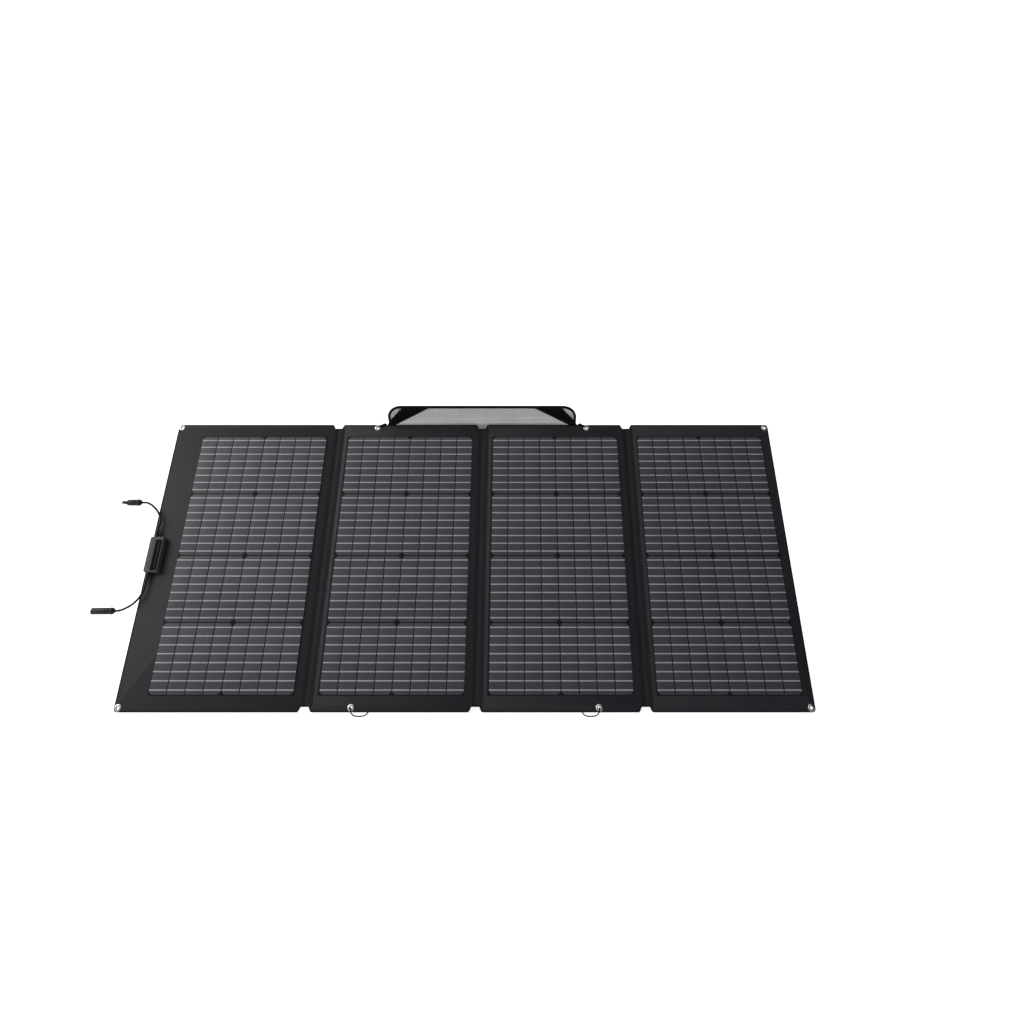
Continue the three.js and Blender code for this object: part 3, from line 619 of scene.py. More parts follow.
maleProfile = [(6, 0), (7.7, 0), (8, 0.6), (8, 6), (7.3, 6.8), (7.3, 8.6), (8, 9.4), (8, 22.8), (7.4, 24),
               (5.1, 24.2), (5, 25), (5, 28.4), (4.6, 29), (3, 29)]
prong = boxShell(1, 2, 0.5, [(0.5, 0), (0, 0.4), (0, 12.2), (0.1, 13), (0.55, 14)], corner=3)
barb = boxShell(0.55, 1.9, 0.3, [(0.3, 0), (0, 0.5), (0.1, 1.8), (0.4, 3)], corner=3)
maleParts = [pastNut(maleProfile, 40, wear=0.3)]
for part, out, along in ((prong, 7, 23.8), (barb, 8.1, 33.6)):
    maleParts += [{**part, "points": part["points"][:, [1, 0, 2]] + (0, side * out, plugStart + along)}
                  for side in (-1, 1)]
maleBody = plugPiece("male_body", upperLine, maleParts, "blackPlastic", "male_connector_body")
oRing = pastNut([(5 + 0.6 * np.cos(q), 26.6 + 0.7 * np.sin(q)) for q in np.arange(8) * np.pi / 4], 32, True)
maleSeal = plugPiece("male_seal", upperLine, [oRing], "softRubber")
nose = pastNut([(2.6, 29.1), (3.1, 29.4), (3.1, 33), (2.9, 33.5), (3.1, 34), (3.1, 41.2), (2.7, 42.2),
                (2, 42.4),
                (1.9, 41.6), (1.8, 40)], 24, wear=0.3)
maleNose = plugPiece("male_nose", upperLine, [nose], "blackPlastic")
contact = pastNut([(1.2, 40.2), (1.5, 40.2), (1.5, 41.5), (1.2, 41.8), (1.2, 41)], 20)
malePin = plugPiece("male_pin", upperLine, [contact], "contactMetal", "male_connector_pin")

femaleShell = pastNut([(6, 0), (7.7, 0), (8, 0.6), (8, 6), (7.4, 6.8), (7.4, 8.6), (8, 9.4), (8, 46.8),
                       (7.4, 48),
                       (6, 48), (5.6, 47.4), (5.6, 26.3), (4.6, 26)], 40, wear=0.3)
# two flats with latch windows sunk into the sides
x, y, z = femaleShell["points"].T
sunk = (np.hypot(x, y) > 7.6) * (np.abs(x) < connector["flatHalf"])
sunk = sunk * connector["flatDepth"] * np.exp(-((z - plugStart - connector["flatAt"])
                                                / connector["flatReach"]) ** 8)
femaleShell["points"] = np.stack([x, y - np.sign(y) * sunk, z], 1)
femaleBody = plugPiece("female_body", lowerLine, [femaleShell], "blackPlastic", "female_connector_body")
sleeve = pastNut([(2.3, 26.4), (3.3, 26.4), (3.4, 27), (3.4, 41), (3.1, 41.3), (2.3, 41.3)], 24, True)
femaleSleeve = plugPiece("female_contact", lowerLine, [sleeve], "contactMetal", "female_connector_contact")

# elastic ties: out of the bottom eyelets, forward onto the ground and back under the panel to the case
ties = {"diameter": 3.2, "steps": 8, "fromFold": 325, "knot": 0.9,
        "route": [(0, 4.6, 13.4), (-0.4, -0.6, 11.6), (1.5, -4.6, 7.2), (5.5, -8.2, 3.2), (12, -11.8, 1.7),
                  (21, -14, 1.7), (31, -13.6, 1.7), (39, -9.5, 1.7), (43, -2.5, 1.7), (44.6, 8, 1.7),
                  (45.4, 22, 2.4), (45.6, 38, 5), (45.6, 52, 8.4), (45.6, 63.7, 11)]}
foldX = 1000 * hinge["fold_centre"]["pos_m"][0]
for side, inward, body in (("left", 1, "section_2"), ("right", -1, "section_3")):
    middle = foldX - inward * ties["fromFold"]
    line = smoothPath([(middle + inward * x, y, z) for x, y, z in ties["route"]], ties["steps"])
    cord = carried(line, disc(ties["diameter"] / 2, 12), (0, 0, 1))
    piece = putMesh(f"tie_{side}", cord, groundStand, "braidedElastic", body, f"tie_cord_{side}")
    knot = carried(line[:5], disc(ties["diameter"] / 2 + ties["knot"], 12), (0, 0, 1),
                   swell=[0.8, 1.1, 1.2, 1.1, 0.8])
    knotPiece = putMesh(f"tie_knot_{side}", knot, groundStand, "braidedElastic", body)
print("leads, connectors and ties laid")

# panel sections
panel = {"width": 1835, "height": 820, "board": 3.5, "folds": [498, 945, 1392], "foldGap": 22,
         "notchDepth": 13, "notchFlare": 6, "notchCut": 3.4, "cornerCut": 9, "edge": 0.8, "eyeletHole": 5.6,
         "eyeletInset": 10, "notchZone": 9, "skin": 0.02}
cells = {"left": [81, 528, 975, 1422], "wide": 387, "high": 742, "first": [1.5, 5, 5.2, 3.5],
         "rows": 4, "columns": 8, "cellStrips": 4, "strip": 45.7, "stripPitch": 48.0, "tinyCut": 0.5,
         "cell": 182, "cellPitch": 185, "chamfer": 8, "ribbons": 8, "ribbonWidth": 3.2, "ribbonShort": 0.25}
edges = {"inner": 3.0, "lip": 0.34, "out": 0.7}
foldCloth = {"half": 20, "thick": 0.42, "dip": 1.5, "stitchAt": 16.4, "stitchPitch": 4.6,
             "stitchFromEnd": 5, "hemRings": 15, "squeeze": 0.385}
foldHalf = panel["foldGap"] / 2
lefts = [0] + [fold + foldHalf for fold in panel["folds"]]
rights = [fold - foldHalf for fold in panel["folds"]] + [panel["width"]]
midX = foldX + panel["width"] / 2
eyeletX = [panel["eyeletInset"], midX - ties["fromFold"], midX + ties["fromFold"],
           panel["width"] - panel["eyeletInset"]]
eyeletY = {"bottom": panel["eyeletInset"], "top": panel["height"] - panel["eyeletInset"]}
eyeletSide = ["left", "mid_left", "mid_right", "right"]


def sectionCorners(i):
    # corners and cut lengths, anticlockwise: bottom left, bottom right, top right, top left
    left, right, top = lefts[i], rights[i], panel["height"]
    depth, flare, cut, cornerCut = (panel[key] for key in ("notchDepth", "notchFlare", "notchCut", "cornerCut"))
    leftLow = [(left, depth), (left + flare, 0)] if i else [(left, 0)]
    rightLow = [(right - flare, 0), (right, depth)] if i < len(panel["folds"]) else [(right, 0)]
    rightHigh = [(x, top - y) for x, y in rightLow[::-1]]
    leftHigh = [(x, top - y) for x, y in leftLow[::-1]]
    return leftLow, rightLow, rightHigh, leftHigh, [cut if len(c) == 2 else cornerCut
                                                    for c in (leftLow, rightLow)]


def bindingRuns(i):
    # the open edges of a section, each from one fold to the next, anticlockwise
    leftLow, rightLow, rightHigh, leftHigh, cuts = sectionCorners(i)
    if i == 0:
        return [rightHigh + leftHigh + leftLow + rightLow]
    if i == len(panel["folds"]):
        return [leftLow + rightLow + rightHigh + leftHigh]
    return [leftLow + rightLow, rightHigh + leftHigh]


front, back, lip = panel["skin"], -panel["board"] - panel["skin"], edges["lip"]
bindProfile = [(-edges["inner"], front), (-edges["inner"] + 0.2, front + lip), (-0.6, front + lip),
               (0.1, front + 0.15),
               (edges["out"], -0.9), (edges["out"], back + 0.9), (0.1, back - 0.15), (-0.6, back - lip),
               (-edges["inner"] + 0.2, back - lip), (-edges["inner"], back), (-0.2, back + 0.1),
               (-0.2, front - 0.1)]


def cellCorner(i, column, row):
    # the bottom left corner of a strip in a section
    bottom = (panel["height"] - (cells["rows"] - 1) * cells["cellPitch"] - cells["cell"]) / 2
    left = cells["left"][i] + cells["first"][i]
    return left + column * cells["stripPitch"], bottom + row * cells["cellPitch"], 0


def cellStrips(i, out):
    # eight-sided strips; only a full cell's own corners are cut, the rest keep a tiny one
    w, h = cells["strip"], cells["cell"]
    parts = []
    for column in range(cells["columns"]):
        a, b = (cells["chamfer"] if column % cells["cellStrips"] == end else cells["tinyCut"]
                for end in (0, cells["cellStrips"] - 1))
        loop = np.array([(a, 0), (w - b, 0), (w, b), (w, h - b), (w - b, h), (a, h), (0, h - a), (0, a)], float)
        rings = np.array([raised(loop, out[0]), raised(inset(loop, 0.12), out[1] - 0.02),
                          raised(inset(loop, 0.3), out[1])])
        places = [cellCorner(i, column, row) for row in range(cells["rows"])]
        parts.append(scattered(gridPatch(rings, False, True, True, True, wear=np.array([0, 1, 0.6])), places))
    return parts


def cellRibbons(i, out):
    # flat tinned ribbons, short of each strip's sides
    length = cells["strip"] - 2 * cells["ribbonShort"]
    rows = [(0, out[0]), (0.15, out[1] - 0.02), (0.5, out[1])]
    bar = boxShell(length / 2, cells["ribbonWidth"] / 2, 0.4, rows, corner=2)
    counts = (np.arange(cells[key]) for key in ("columns", "rows", "ribbons"))
    column, row, line = (a.ravel() for a in np.meshgrid(*counts, indexing="ij"))
    x, y, z = cellCorner(i, column, row)
    up = (line + 0.5) * cells["cell"] / cells["ribbons"]
    return scattered(bar, np.stack([x + cells["strip"] / 2, y + up, z + 0.0 * row], 1))


for i in range(len(lefts)):
    body = f"section_{i + 1}"
    leftLow, rightLow, rightHigh, leftHigh, cuts = sectionCorners(i)
    corners = leftLow + rightLow + rightHigh + leftHigh
    cutsAll = [cuts[0]] * len(leftLow) + [cuts[1]] * 2 * len(rightLow) + [cuts[0]] * len(leftHigh)
    outline = softCorners(corners, cutsAll)
    holes = [disc(panel["eyeletHole"], 20) + (eyeletX[i], y) for y in eyeletY.values()]
    board = plate(outline, holes, -panel["board"], 0, panel["edge"])
    putMesh(f"{body}_panel", board, panelStand, "panelFabric", body, f"{body}_board")

    for k, run in enumerate(bindingRuns(i)):
        byNotch = [len(leftLow) == 2 and x < lefts[i] + panel["notchZone"]
                   or len(rightLow) == 2 and x > rights[i] - panel["notchZone"] for x, y in run]
        path = softCorners(run, [panel["notchCut" if near else "cornerCut"] for near in byNotch], closed=False)
        tape = carried(raised(path, 0), bindProfile, (0, 0, 1))
        putMesh(f"{body}_binding_{k + 1}", tape, panelStand, "bindingTape", body)

    middle = (cells["left"][i] + cells["wide"] / 2, panel["height"] / 2)
    size = (cells["wide"] / 2, cells["high"] / 2, 4)
    rear = -panel["board"] - 0.03
    frontRows = [(0, 0.03), (0, 0.35), (0.5, 0.7), (1.2, 0.8)]
    rearRows = [(0, rear), (0, rear - 0.3), (0.5, rear - 0.5), (1.2, rear - 0.6)]
    for way, rows, levels, filmWear, node, slot in (
            ("", frontRows, (0.8, 0.98, 1.1), np.array([0, .3, 1, .3]), "cells", "cell_film"),
            ("rear_", rearRows, (rear - 0.6, rear - 0.76, rear - 0.86), 0.0, "rear_window", "rear_film")):
        film = boxShell(*size, rows, middle=middle, wear=filmWear)
        putMesh(f"{body}_{way}film", film, panelStand, "backFilm", body, f"{body}_{node}")
        putMesh(f"{body}_{way}strips", cellStrips(i, levels[:2]), panelStand, "cellGlass", body)
        putMesh(f"{body}_{way}ribbons", cellRibbons(i, levels[1:]), panelStand, "ribbonTin", body)

    # eyelets: a rolled front flange and a flatter washer behind
    ring = [(4.3, -4.0), (4.3, 0.7), (4.6, 1.05), (5.3, 1.32), (6.3, 1.36), (7.6, 1.12), (8.6, 0.75), (9, 0.45),
            (8.9, 0.36), (5.3, 0.36), (5.3, -3.86), (8.8, -3.86), (9, -4.05), (8.4, -4.45), (6, -4.62),
            (4.8, -4.5)]
    # painted shade: the barrel and the rear washer's inner edge take the near-black second colour, standing for
    # shade and dark reflection inside the hole; the outer rim takes a little wear
    eyeletShadeAndWear = np.array([2, 2, 1.6, 0.8, 0.15, 0, 0.1, 0.3] + [0] * 6 + [0.5, 1.5])
    for end, y in eyeletY.items():
        place = f"{end}_{eyeletSide[i]}"
        eyelet = moved(turned(ring, 40, True, eyeletShadeAndWear), None, (eyeletX[i], y, 0))
        putMesh(f"eyelet_{place}", eyelet, panelStand, "nickelPlate", body, f"grommet_{place}",
                smooth=50)
print("sections made")

# fold cloth: a front and a rear layer over each fold, dipping between the boards
foldJoints = [("section_2", "section_1"), ("section_2", "section_3"), ("section_3", "section_4")]
for k, (x0, (a, b)) in enumerate(zip(panel["folds"], foldJoints)):
    low, high = panel["notchDepth"] - 0.3, panel["height"] - panel["notchDepth"] + 0.3
    acrossHalf = np.concatenate([np.linspace(0, foldHalf, 12), [12, 14, 16.4, 18.6, 19.6, foldCloth["half"]]])
    across = np.concatenate([-acrossHalf[:0:-1], acrossHalf])
    along = np.linspace(low, high, 120)
    X, Y = np.meshgrid(across, along)
    dip = foldCloth["dip"] * bell(X, foldHalf)
    dip *= 1 + 0.25 * np.sin(Y / 31 + k) * np.cos(Y / 13)
    seam = 0.16 * np.exp(-((np.abs(X) - foldCloth["stitchAt"]) / 0.9) ** 2)
    layers = []
    for level, sign in ((front, 1), (back, -1)):
        rim = np.clip((foldCloth["half"] - np.abs(X)) / 0.5, 0, 1)
        lift = foldCloth["thick"] * (0.25 + 0.75 * rim) - dip - seam * rim
        outer = np.stack([x0 + X, Y, level + sign * lift], -1)
        inner = np.stack([x0 + X, Y, level - sign * dip * 1.02], -1)
        shell = np.concatenate([outer, inner[:, ::-1]], 1)
        layers.append(gridPatch(shell, False, True, True, True))
    start, end = (inRow([x0 + reach, panel["height"] / 2, 0], panelStand) for reach in (-foldHalf, foldHalf))
    if (a, b) == ("section_2", "section_1"):
        start, end = end, start
    cloth = putMesh(f"fold_cloth_{k + 1}", layers, panelStand, "foldFabric", None,
                    f"fold_strip_{k + 1}")
    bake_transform(cloth)

    hump = smoothPath([(0, -1.7, -0.1), (0, -1.2, 0.22), (0, 0, 0.3), (0, 1.2, 0.22), (0, 1.7, -0.1)], 2)
    stitch = carried(hump, disc(0.28, 6), (1, 0, 0))
    rows = np.arange(low + foldCloth["stitchFromEnd"], high - foldCloth["stitchFromEnd"],
                     foldCloth["stitchPitch"])
    level = front + foldCloth["thick"] - 0.1
    places = [np.stack([np.full(len(rows), x0 + s * foldCloth["stitchAt"]), rows, np.full(len(rows), level)], 1)
              for s in (-1, 1)]
    stitches = scattered(stitch, np.vstack(places))
    thread = putMesh(f"fold_stitching_{k + 1}", stitches, panelStand, "seamThread", None)
    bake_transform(thread)
    hems = []
    for y, way in ((panel["notchDepth"], 1), (panel["height"] - panel["notchDepth"], -1)):
        xs = np.linspace(-foldHalf - 0.4, foldHalf + 0.4, foldCloth["hemRings"])
        hem = carried(np.stack([x0 + way * xs, y + 0 * xs, 0 * xs], 1), bindProfile, (0, 0, 1))
        rings = hem["points"][:len(xs) * len(bindProfile)].reshape(len(xs), -1, 3)
        centre = (front + back) / 2
        squeezed = 1 - foldCloth["squeeze"] * bell(xs, foldHalf)
        rings[..., 2] = centre + (rings[..., 2] - centre) * squeezed[:, None]
        hems.append(hem)
    hemPiece = putMesh(f"fold_hem_{k + 1}", hems, panelStand, "bindingTape", None)
    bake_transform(hemPiece)
print("folds bridged")

# junction box on the left end: base tray, cover with a sunk slot, glands and strain reliefs
box = {"centre": (20, 410), "halfX": 20, "halfY": 50.5, "radius": 4, "off": 0.3, "glandX": -8,
       "slotHalfX": 8.8, "slotHalfY": 44, "slotX": 7.4, "slotY": -2.4, "boot": 5.4, "tip": 4.1, "bootLong": 16,
       "bootRings": 5}


def onBox(name, patch, finish, node=None):
    # a piece of the box, its patch laid out from the box's centre
    place = (*box["centre"], box["off"])
    return putMesh(name, moved(patch, None, place), panelStand, finish, "section_1", node)


trayRows = [(2, 0), (0.7, 0), (0, 0.7), (0, 8.5), (0.35, 9), (2, 9), (2.2, 8.8), (2.2, 2.2), (3, 2)]
tray = boxShell(box["halfX"], box["halfY"], box["radius"], trayRows,
                wear=np.array([0, .6, 1, .4, .6, 0, 0, 0, 0]))
onBox("junction_tray", tray, "boxPlastic", "junction_box_base")
coverRows = [(3, 13.2), (2.2, 13), (2.2, 10.6), (2, 10.4), (0.35, 10.4), (0, 10.9), (0, 15.2), (0.35, 16.6),
             (1.2, 17.7), (2.3, 18.3), (3.4, 18.4)]
rings = [raised(loopOf(box["halfX"] - d, box["halfY"] - d, box["radius"] + 1 - d), z) for d, z in coverRows]
slotAt = (box["slotX"], box["slotY"])
for d, z in ((-0.7, 18.4), (-0.2, 18.2), (0, 17.7), (0.2, 15.2), (0.9, 14.7), (3, 14.7)):
    rings.append(raised(loopOf(box["slotHalfX"] - d, box["slotHalfY"] - d, 3 - d, middle=slotAt), z))
coverWear = np.array([0, 0, 0, 0, .4, .4, .2, .6, 1, .6, .1, .7, .8, .3, 0, 0, 0])
cover = gridPatch(np.array(rings), False, True, True, True, wear=coverWear)
onBox("junction_cover", cover, "boxPlastic", "junction_box_cover")
window = boxShell(8.1, 43.2, 2.4, [(0.4, 14.75), (0, 14.9), (0, 15.1), (0.5, 15.3)], middle=slotAt)
onBox("junction_slot_panel", window, "slotShade")
ridge = boxShell(0.6, 38, 0.5, [(0.2, 15.2), (0, 15.4), (0, 16.6), (0.3, 16.9)],
                 middle=(box["slotX"] + 1.2, box["slotY"]))
onBox("junction_slot_rib", ridge, "boxPlastic")

for end, way in (("upper", 1), ("lower", -1)):
    axes = [[1, 0, 0], [0, 0, -way], [0, way, 0]]
    foot = (box["centre"][0] + box["glandX"], box["centre"][1] + way * (box["halfY"] + 0.3), 10)
    rows = [(5.4, 0, 0), (6.3, 0.2, 0), (6.5, 0.8, 1), (6.5, 6.4, 1), (6.1, 7.2, 0.4), (5.6, 8.6, 0),
            (5.2, 9, 0)]
    bite = np.cos(np.arange(48) * 2 * np.pi / 48 * 8) > 0.55
    collar = moved(gripped(rows, 0.35, bite, [0, .3, 1, 1, .6, .3, 0]), axes, foot)
    putMesh(f"gland_nut_{end}", collar, panelStand, "blackPlastic", "section_1",
            f"gland_{end}")
    z = np.linspace(0, box["bootLong"], 66)
    radius = box["boot"] + (box["tip"] - box["boot"]) * z / box["bootLong"]
    groove = np.cos(2 * np.pi * z / box["bootLong"] * box["bootRings"]) < -0.35
    radius = radius - 0.45 * groove * (z > 1.5) * (z < 15)
    profile = np.column_stack([np.concatenate([[3.2], radius, [3.3]]),
                               np.concatenate([[0], z, [box["bootLong"]]])])
    foot = (foot[0], foot[1] + way * 9.3, 10)
    boot = moved(turned(profile, 32, wear=0.3), axes, foot)
    putMesh(f"strain_boot_{end}", boot, panelStand, "softRubber", "section_1", f"strain_relief_{end}")

# wire hooks over the panel's top edge, each with a sleeve where it meets the corner strap
hooks = {"diameter": 3, "steps": 8, "sleeve": 53,
         "route": [(23.8, 6.4, -22), (23.9, 9.6, -17), (23.7, 12.2, -10.5), (23, 13.3, -4), (20.8, 12.6, 0.8),
                   (16.5, 9.6, 3.2), (10.5, 5.8, 3.9), (4.5, 2.6, 3.9), (1, 0.9, 2.8), (0, 0, 0.2), (0, 0, -4)]}
for side, inward, body, x0 in (("left", 1, "section_2", eyeletX[1]), ("right", -1, "section_3", eyeletX[2])):
    line = smoothPath([(x0 + inward * x, eyeletY["top"] + y, z) for x, y, z in hooks["route"]], hooks["steps"])
    grow = np.interp(np.arange(len(line)), [0, 2, len(line) - 8, len(line) - 1], [0.75, 1, 1, 0.6])
    wire = carried(line, disc(hooks["diameter"] / 2, 14), (inward, -1, 0), swell=grow, wear=0.4)
    putMesh(f"hook_{side}", wire, panelStand, "blackMetal", body, f"grommet_hook_{side}")
    sleeveSwell = np.interp(np.linspace(0, 1, hooks["sleeve"]), [0, 0.06, 0.94, 1], [0.8, 1, 1, 0.8])
    cover = carried(line[:hooks["sleeve"]], disc(hooks["diameter"] / 2 + 1.1, 14), (inward, -1, 0),
                    swell=sleeveSwell)
    putMesh(f"hook_sleeve_{side}", cover, panelStand, "webbingCloth", body)
print("junction box and hooks fitted")

# carry case, lower half: x from its middle, y from its front wall
case = {"halfX": 288, "lidHalfX": 291.5, "halfY": 419, "radius": 43, "straight": 16, "corner": 12,
        "spineMargin": 47, "wallZone": 14, "piping": 1.7, "tooth": 2.4,
        "zipIn": 2.5, "trayZip": 38.25, "flapZip": -1.75}
baseMiddle, lidMiddle = (0, case["halfY"]), (0, case["halfY"] + 2)


def softWalls(shell, middle, low, high, amount, seed):
    # walls swell a little between floor and rim, unevenly along their length
    x, y, z = shell["points"].T
    dx, dy = x - middle[0], y - middle[1]
    nearX, nearY = (np.clip((np.abs(d) - case[half]) / case["wallZone"] + 1, 0, 1)
                    for d, half in ((dx, "halfX"), (dy, "halfY")))
    level = np.sin(np.pi * np.clip((z - low) / (high - low), 0, 1))
    push = amount * level * (0.7 + 0.6 * slow(x, y, seed))
    shell["points"] = np.stack([x + np.sign(dx) * push * nearX, y + np.sign(dy) * push * nearY, z], 1)
    return shell


def pipeAround(halfX, middle, insetBy, height, radius):
    loop = loopOf(halfX - insetBy, case["halfY"] - insetBy, case["radius"] - insetBy, case["corner"],
                  case["straight"], middle)
    return carried(raised(loop, height), disc(radius, 10), (0, 0, 1), closed=True)


baseRows = [(250, 0.6), (60, 0.6), (24, 0.5), (14, 0.0), (7, 0.5), (3, 2.0), (0.9, 4.6), (0, 9), (0, 15),
            (0, 22), (0, 29), (0.1, 34), (0.6, 36.8), (1.8, 38), (3.6, 38), (4.7, 37.2), (5, 35), (5.1, 24),
            (5.2, 12), (5.8, 6.5), (8, 4.6), (14, 4.1), (60, 4.05), (250, 4.05)]
baseWear = np.array([0, 0, .2, .6, .9, 1, .8, .4, .2, .2, .2, .3, .6, .8, .3] + [0] * 9)
shell = boxShell(case["halfX"], case["halfY"], case["radius"], baseRows, case["corner"], case["straight"],
                 baseMiddle, wear=baseWear)
shell = softWalls(shell, baseMiddle, 3, 37, 0.6, 0.4)
putMesh("case_tray", shell, baseStand, "caseFabric", "case_base", "case_base_shell", smooth=60)
pipes = [pipeAround(case["halfX"], baseMiddle, 1.2, 4.2, case["piping"]),
         pipeAround(case["halfX"], baseMiddle, 0.7, 36.2, 0.9)]
putMesh("case_tray_piping", pipes, baseStand, "bindingTape", "case_base")


def linerGrid(halfX, halfY, radius, middle, level, wrinkle, across=90, along=130):
    # rows across a rounded rectangle, closer at the ends; height comes from the wrinkle function
    v = np.sin(np.linspace(-np.pi / 2, np.pi / 2, along)) * 0.35 + np.linspace(-1, 1, along) * 0.65
    y = v * halfY
    over = np.maximum(np.abs(y) - (halfY - radius), 0)
    wide = halfX - radius + np.sqrt(np.maximum(radius ** 2 - over ** 2, 0))
    X, Y = np.linspace(-1, 1, across)[None] * wide[:, None], np.repeat(y[:, None], across, 1)
    rim = np.clip((1 - np.maximum(np.abs(X) / wide[:, None], np.abs(v[:, None]))) * 12, 0, 1)
    # painted shade: the cloth darkens over its last part towards the end at larger y (the flap's free end, the
    # tray's rear wall)
    paintedShadeToEnd = np.clip((Y - 0.87 * halfY) / (0.13 * halfY), 0, 1) ** 0.8
    X, Y = X + middle[0], Y + middle[1]
    return gridPatch(np.stack([X, Y, level + rim * wrinkle(X, Y)], -1), wear=paintedShadeToEnd)


def creased(x, y):
    # soft folds running slantwise, deeper in some places than others
    fold = np.abs(np.sin(x / 88 + 0.7 * np.sin(y / 120))) ** 6 + np.abs(np.sin((x + 1.7 * y) / 230 + 0.5)) ** 18
    return 0.5 * fold * (0.4 + 0.6 * np.abs(slow(x, y, 1.3))) + 0.35 * slow(x, y, 2.1)


lining = {"edge": 5.8, "radius": 38, "thick": 0.8, "trayLevel": 5.0, "flapLevel": -4.6}


def layLining(name, halfX, middle, level, wrinkle, stand, body):
    # a creased cloth laid in one half of the case, thickened by a solidify modifier
    wide, high, radius = halfX - lining["edge"], case["halfY"] - lining["edge"], lining["radius"]
    grid = linerGrid(wide, high, radius, middle, level, wrinkle)
    cloth = putMesh(name, grid, stand, "silverLining", body, f"{body}_lining", smooth=80)
    wall = cloth.modifiers.new("cloth", "SOLIDIFY")
    wall.thickness, wall.offset = lining["thick"] / 1000, 0


layLining("case_tray_lining", case["halfX"], baseMiddle, lining["trayLevel"],
          lambda x, y: 0.6 + creased(x, y), baseStand, "case_base")


def rimPath(halfX, middle, keep):
    # the part of the rim that the zip follows, open at the spine
    zipIn = case["zipIn"]
    loop = loopOf(halfX - zipIn, case["halfY"] - zipIn, case["radius"] - zipIn, case["corner"], 40, middle)
    kept = keep(loop[:, 1])
    first = np.flatnonzero(kept & ~np.roll(kept, 1))[0]
    return np.roll(loop, -first, 0)[np.roll(kept, -first)]


def zipHalf(path, level):
    # tape and a row of teeth spaced evenly along it, each turned to face along the path
    tape = carried(raised(path, level), [(-2, 0), (-1.9, 1.15), (1.9, 1.15), (2, 0)], (0, 0, 1))
    run = np.concatenate([[0], np.cumsum(np.linalg.norm(np.diff(path, axis=0), axis=1))])
    at = np.arange(3, run[-1] - 3, case["tooth"])
    spots = np.column_stack([np.interp(at, run, path[:, 0]), np.interp(at, run, path[:, 1]),
                             np.full(len(at), level + 1.1)])
    ahead = np.gradient(spots, axis=0)
    turns = np.arctan2(ahead[:, 1], ahead[:, 0])
    tooth = boxShell(0.65, 1.0, 0.2, [(0, 0), (0.05, 0.5), (0.25, 0.75)], corner=2)
    tooth["points"][:, 1] -= 0.7
    return tape, scattered(tooth, spots, turns)


zipPath = rimPath(case["halfX"], baseMiddle, lambda y: y < 2 * case["halfY"] - case["spineMargin"])
tape, teeth = zipHalf(zipPath, case["trayZip"])
putMesh("case_tray_zip_tape", tape, baseStand, "webbingCloth", "case_base", "zip_tape_base")
putMesh("case_tray_zip_teeth", teeth, baseStand, "zipNylon", "case_base")

# zip sliders with hinged pullers
zipper = {"x": 285.5, "y": 769, "slider": 39.8, "puller": 44.7}
bail = smoothPath([(0, 4.4, 3.1), (0, 4.3, 6.2), (0, 2.6, 8.0), (0, -1.6, 8.0), (0, -3.3, 6.2),
                   (0, -3.4, 3.1)], 6)
slide = [boxShell(4.4, 6.9, 2.4, [(0.4, 0), (0, 0.3), (0, 1.0), (0.4, 1.3)], corner=5,
                  wear=np.array([.5, 1, 1, .5])),
         boxShell(4.2, 6.6, 2.6, [(0.3, 2.2), (0, 2.5), (0, 3.0), (0.5, 3.35)], corner=5,
                  wear=np.array([.5, 1, 1, .7])),
         boxShell(1.8, 4.2, 1.2, [(0, 1.2), (0, 2.3)], corner=4),
         carried(bail, disc(0.7, 10), (1, 0, 0), wear=0.8)]
pull = softCorners([(-3, -24), (3, -24), (2.6, 1.6), (-2.6, 1.6)], [2.2, 2.2, 1.2, 1.2])
pullHole = loopOf(1.35, 2.7, 1.3, 5, 1, (0, -2.1))
grip = [boxShell(2.2, 5.4, 1.2, [(0.4, z), (0, z + s * 0.12), (0, z + s * 0.25), (0.5, z + s * 0.4)],
                 corner=4, middle=(0, -16)) for z, s in ((1.5, 1), (0.1, -1))]
for side, way in (("left", -1), ("right", 1)):
    spot = (way * zipper["x"], zipper["y"], zipper["slider"])
    parts = [moved(p, None, spot) for p in slide]
    putMesh(f"slider_{side}", parts, baseStand, "blackMetal", "case_base", f"zip_slider_{side}")
    spot = (way * zipper["x"], zipper["y"], zipper["puller"])
    parts = [moved(p, None, spot) for p in plate(pull, [pullHole], 0, 1.6, 0.35) + grip]
    body = f"puller_{side}"
    putMesh(f"puller_tab_{side}", parts, baseStand, "blackMetal", body, f"zip_{body}")

# carry handle: a flat band that rolls up into a thicker grip, on two stitched patches
handle = {"footX": 290.6, "reach": 50.4, "halfSpan": 73, "bend": 19, "band": 24, "thick": 2.2, "grip": 17,
          "gripThick": 5.4, "level": 3.2, "patchUp": 17.5}
hx, hy = handle["footX"], handle["halfSpan"]
corners = [(hx, -hy), (hx + handle["reach"], -hy), (hx + handle["reach"], hy), (hx, hy)]
line = softCorners(corners, handle["bend"], closed=False, steps=10)
run = np.concatenate([[0], np.cumsum(np.linalg.norm(np.diff(line, axis=0), axis=1))])
at = np.linspace(0, run[-1], 90)
line = raised(np.stack([np.interp(at, run, line[:, 0]), np.interp(at, run, line[:, 1])], 1)
              + (0, case["halfY"]), handle["level"])
roll = np.clip((0.30 - np.abs(at / run[-1] - 0.5)) / 0.045, 0, 1)
roll = roll * roll * (3 - 2 * roll)
ahead = np.gradient(line, axis=0)
sideways = np.cross(ahead, (0, 0, 1))
sideways /= np.linalg.norm(sideways, axis=1, keepdims=True)
angle = np.arange(28) * 2 * np.pi / 28
blunt = 0.35 + 0.45 * roll[:, None]


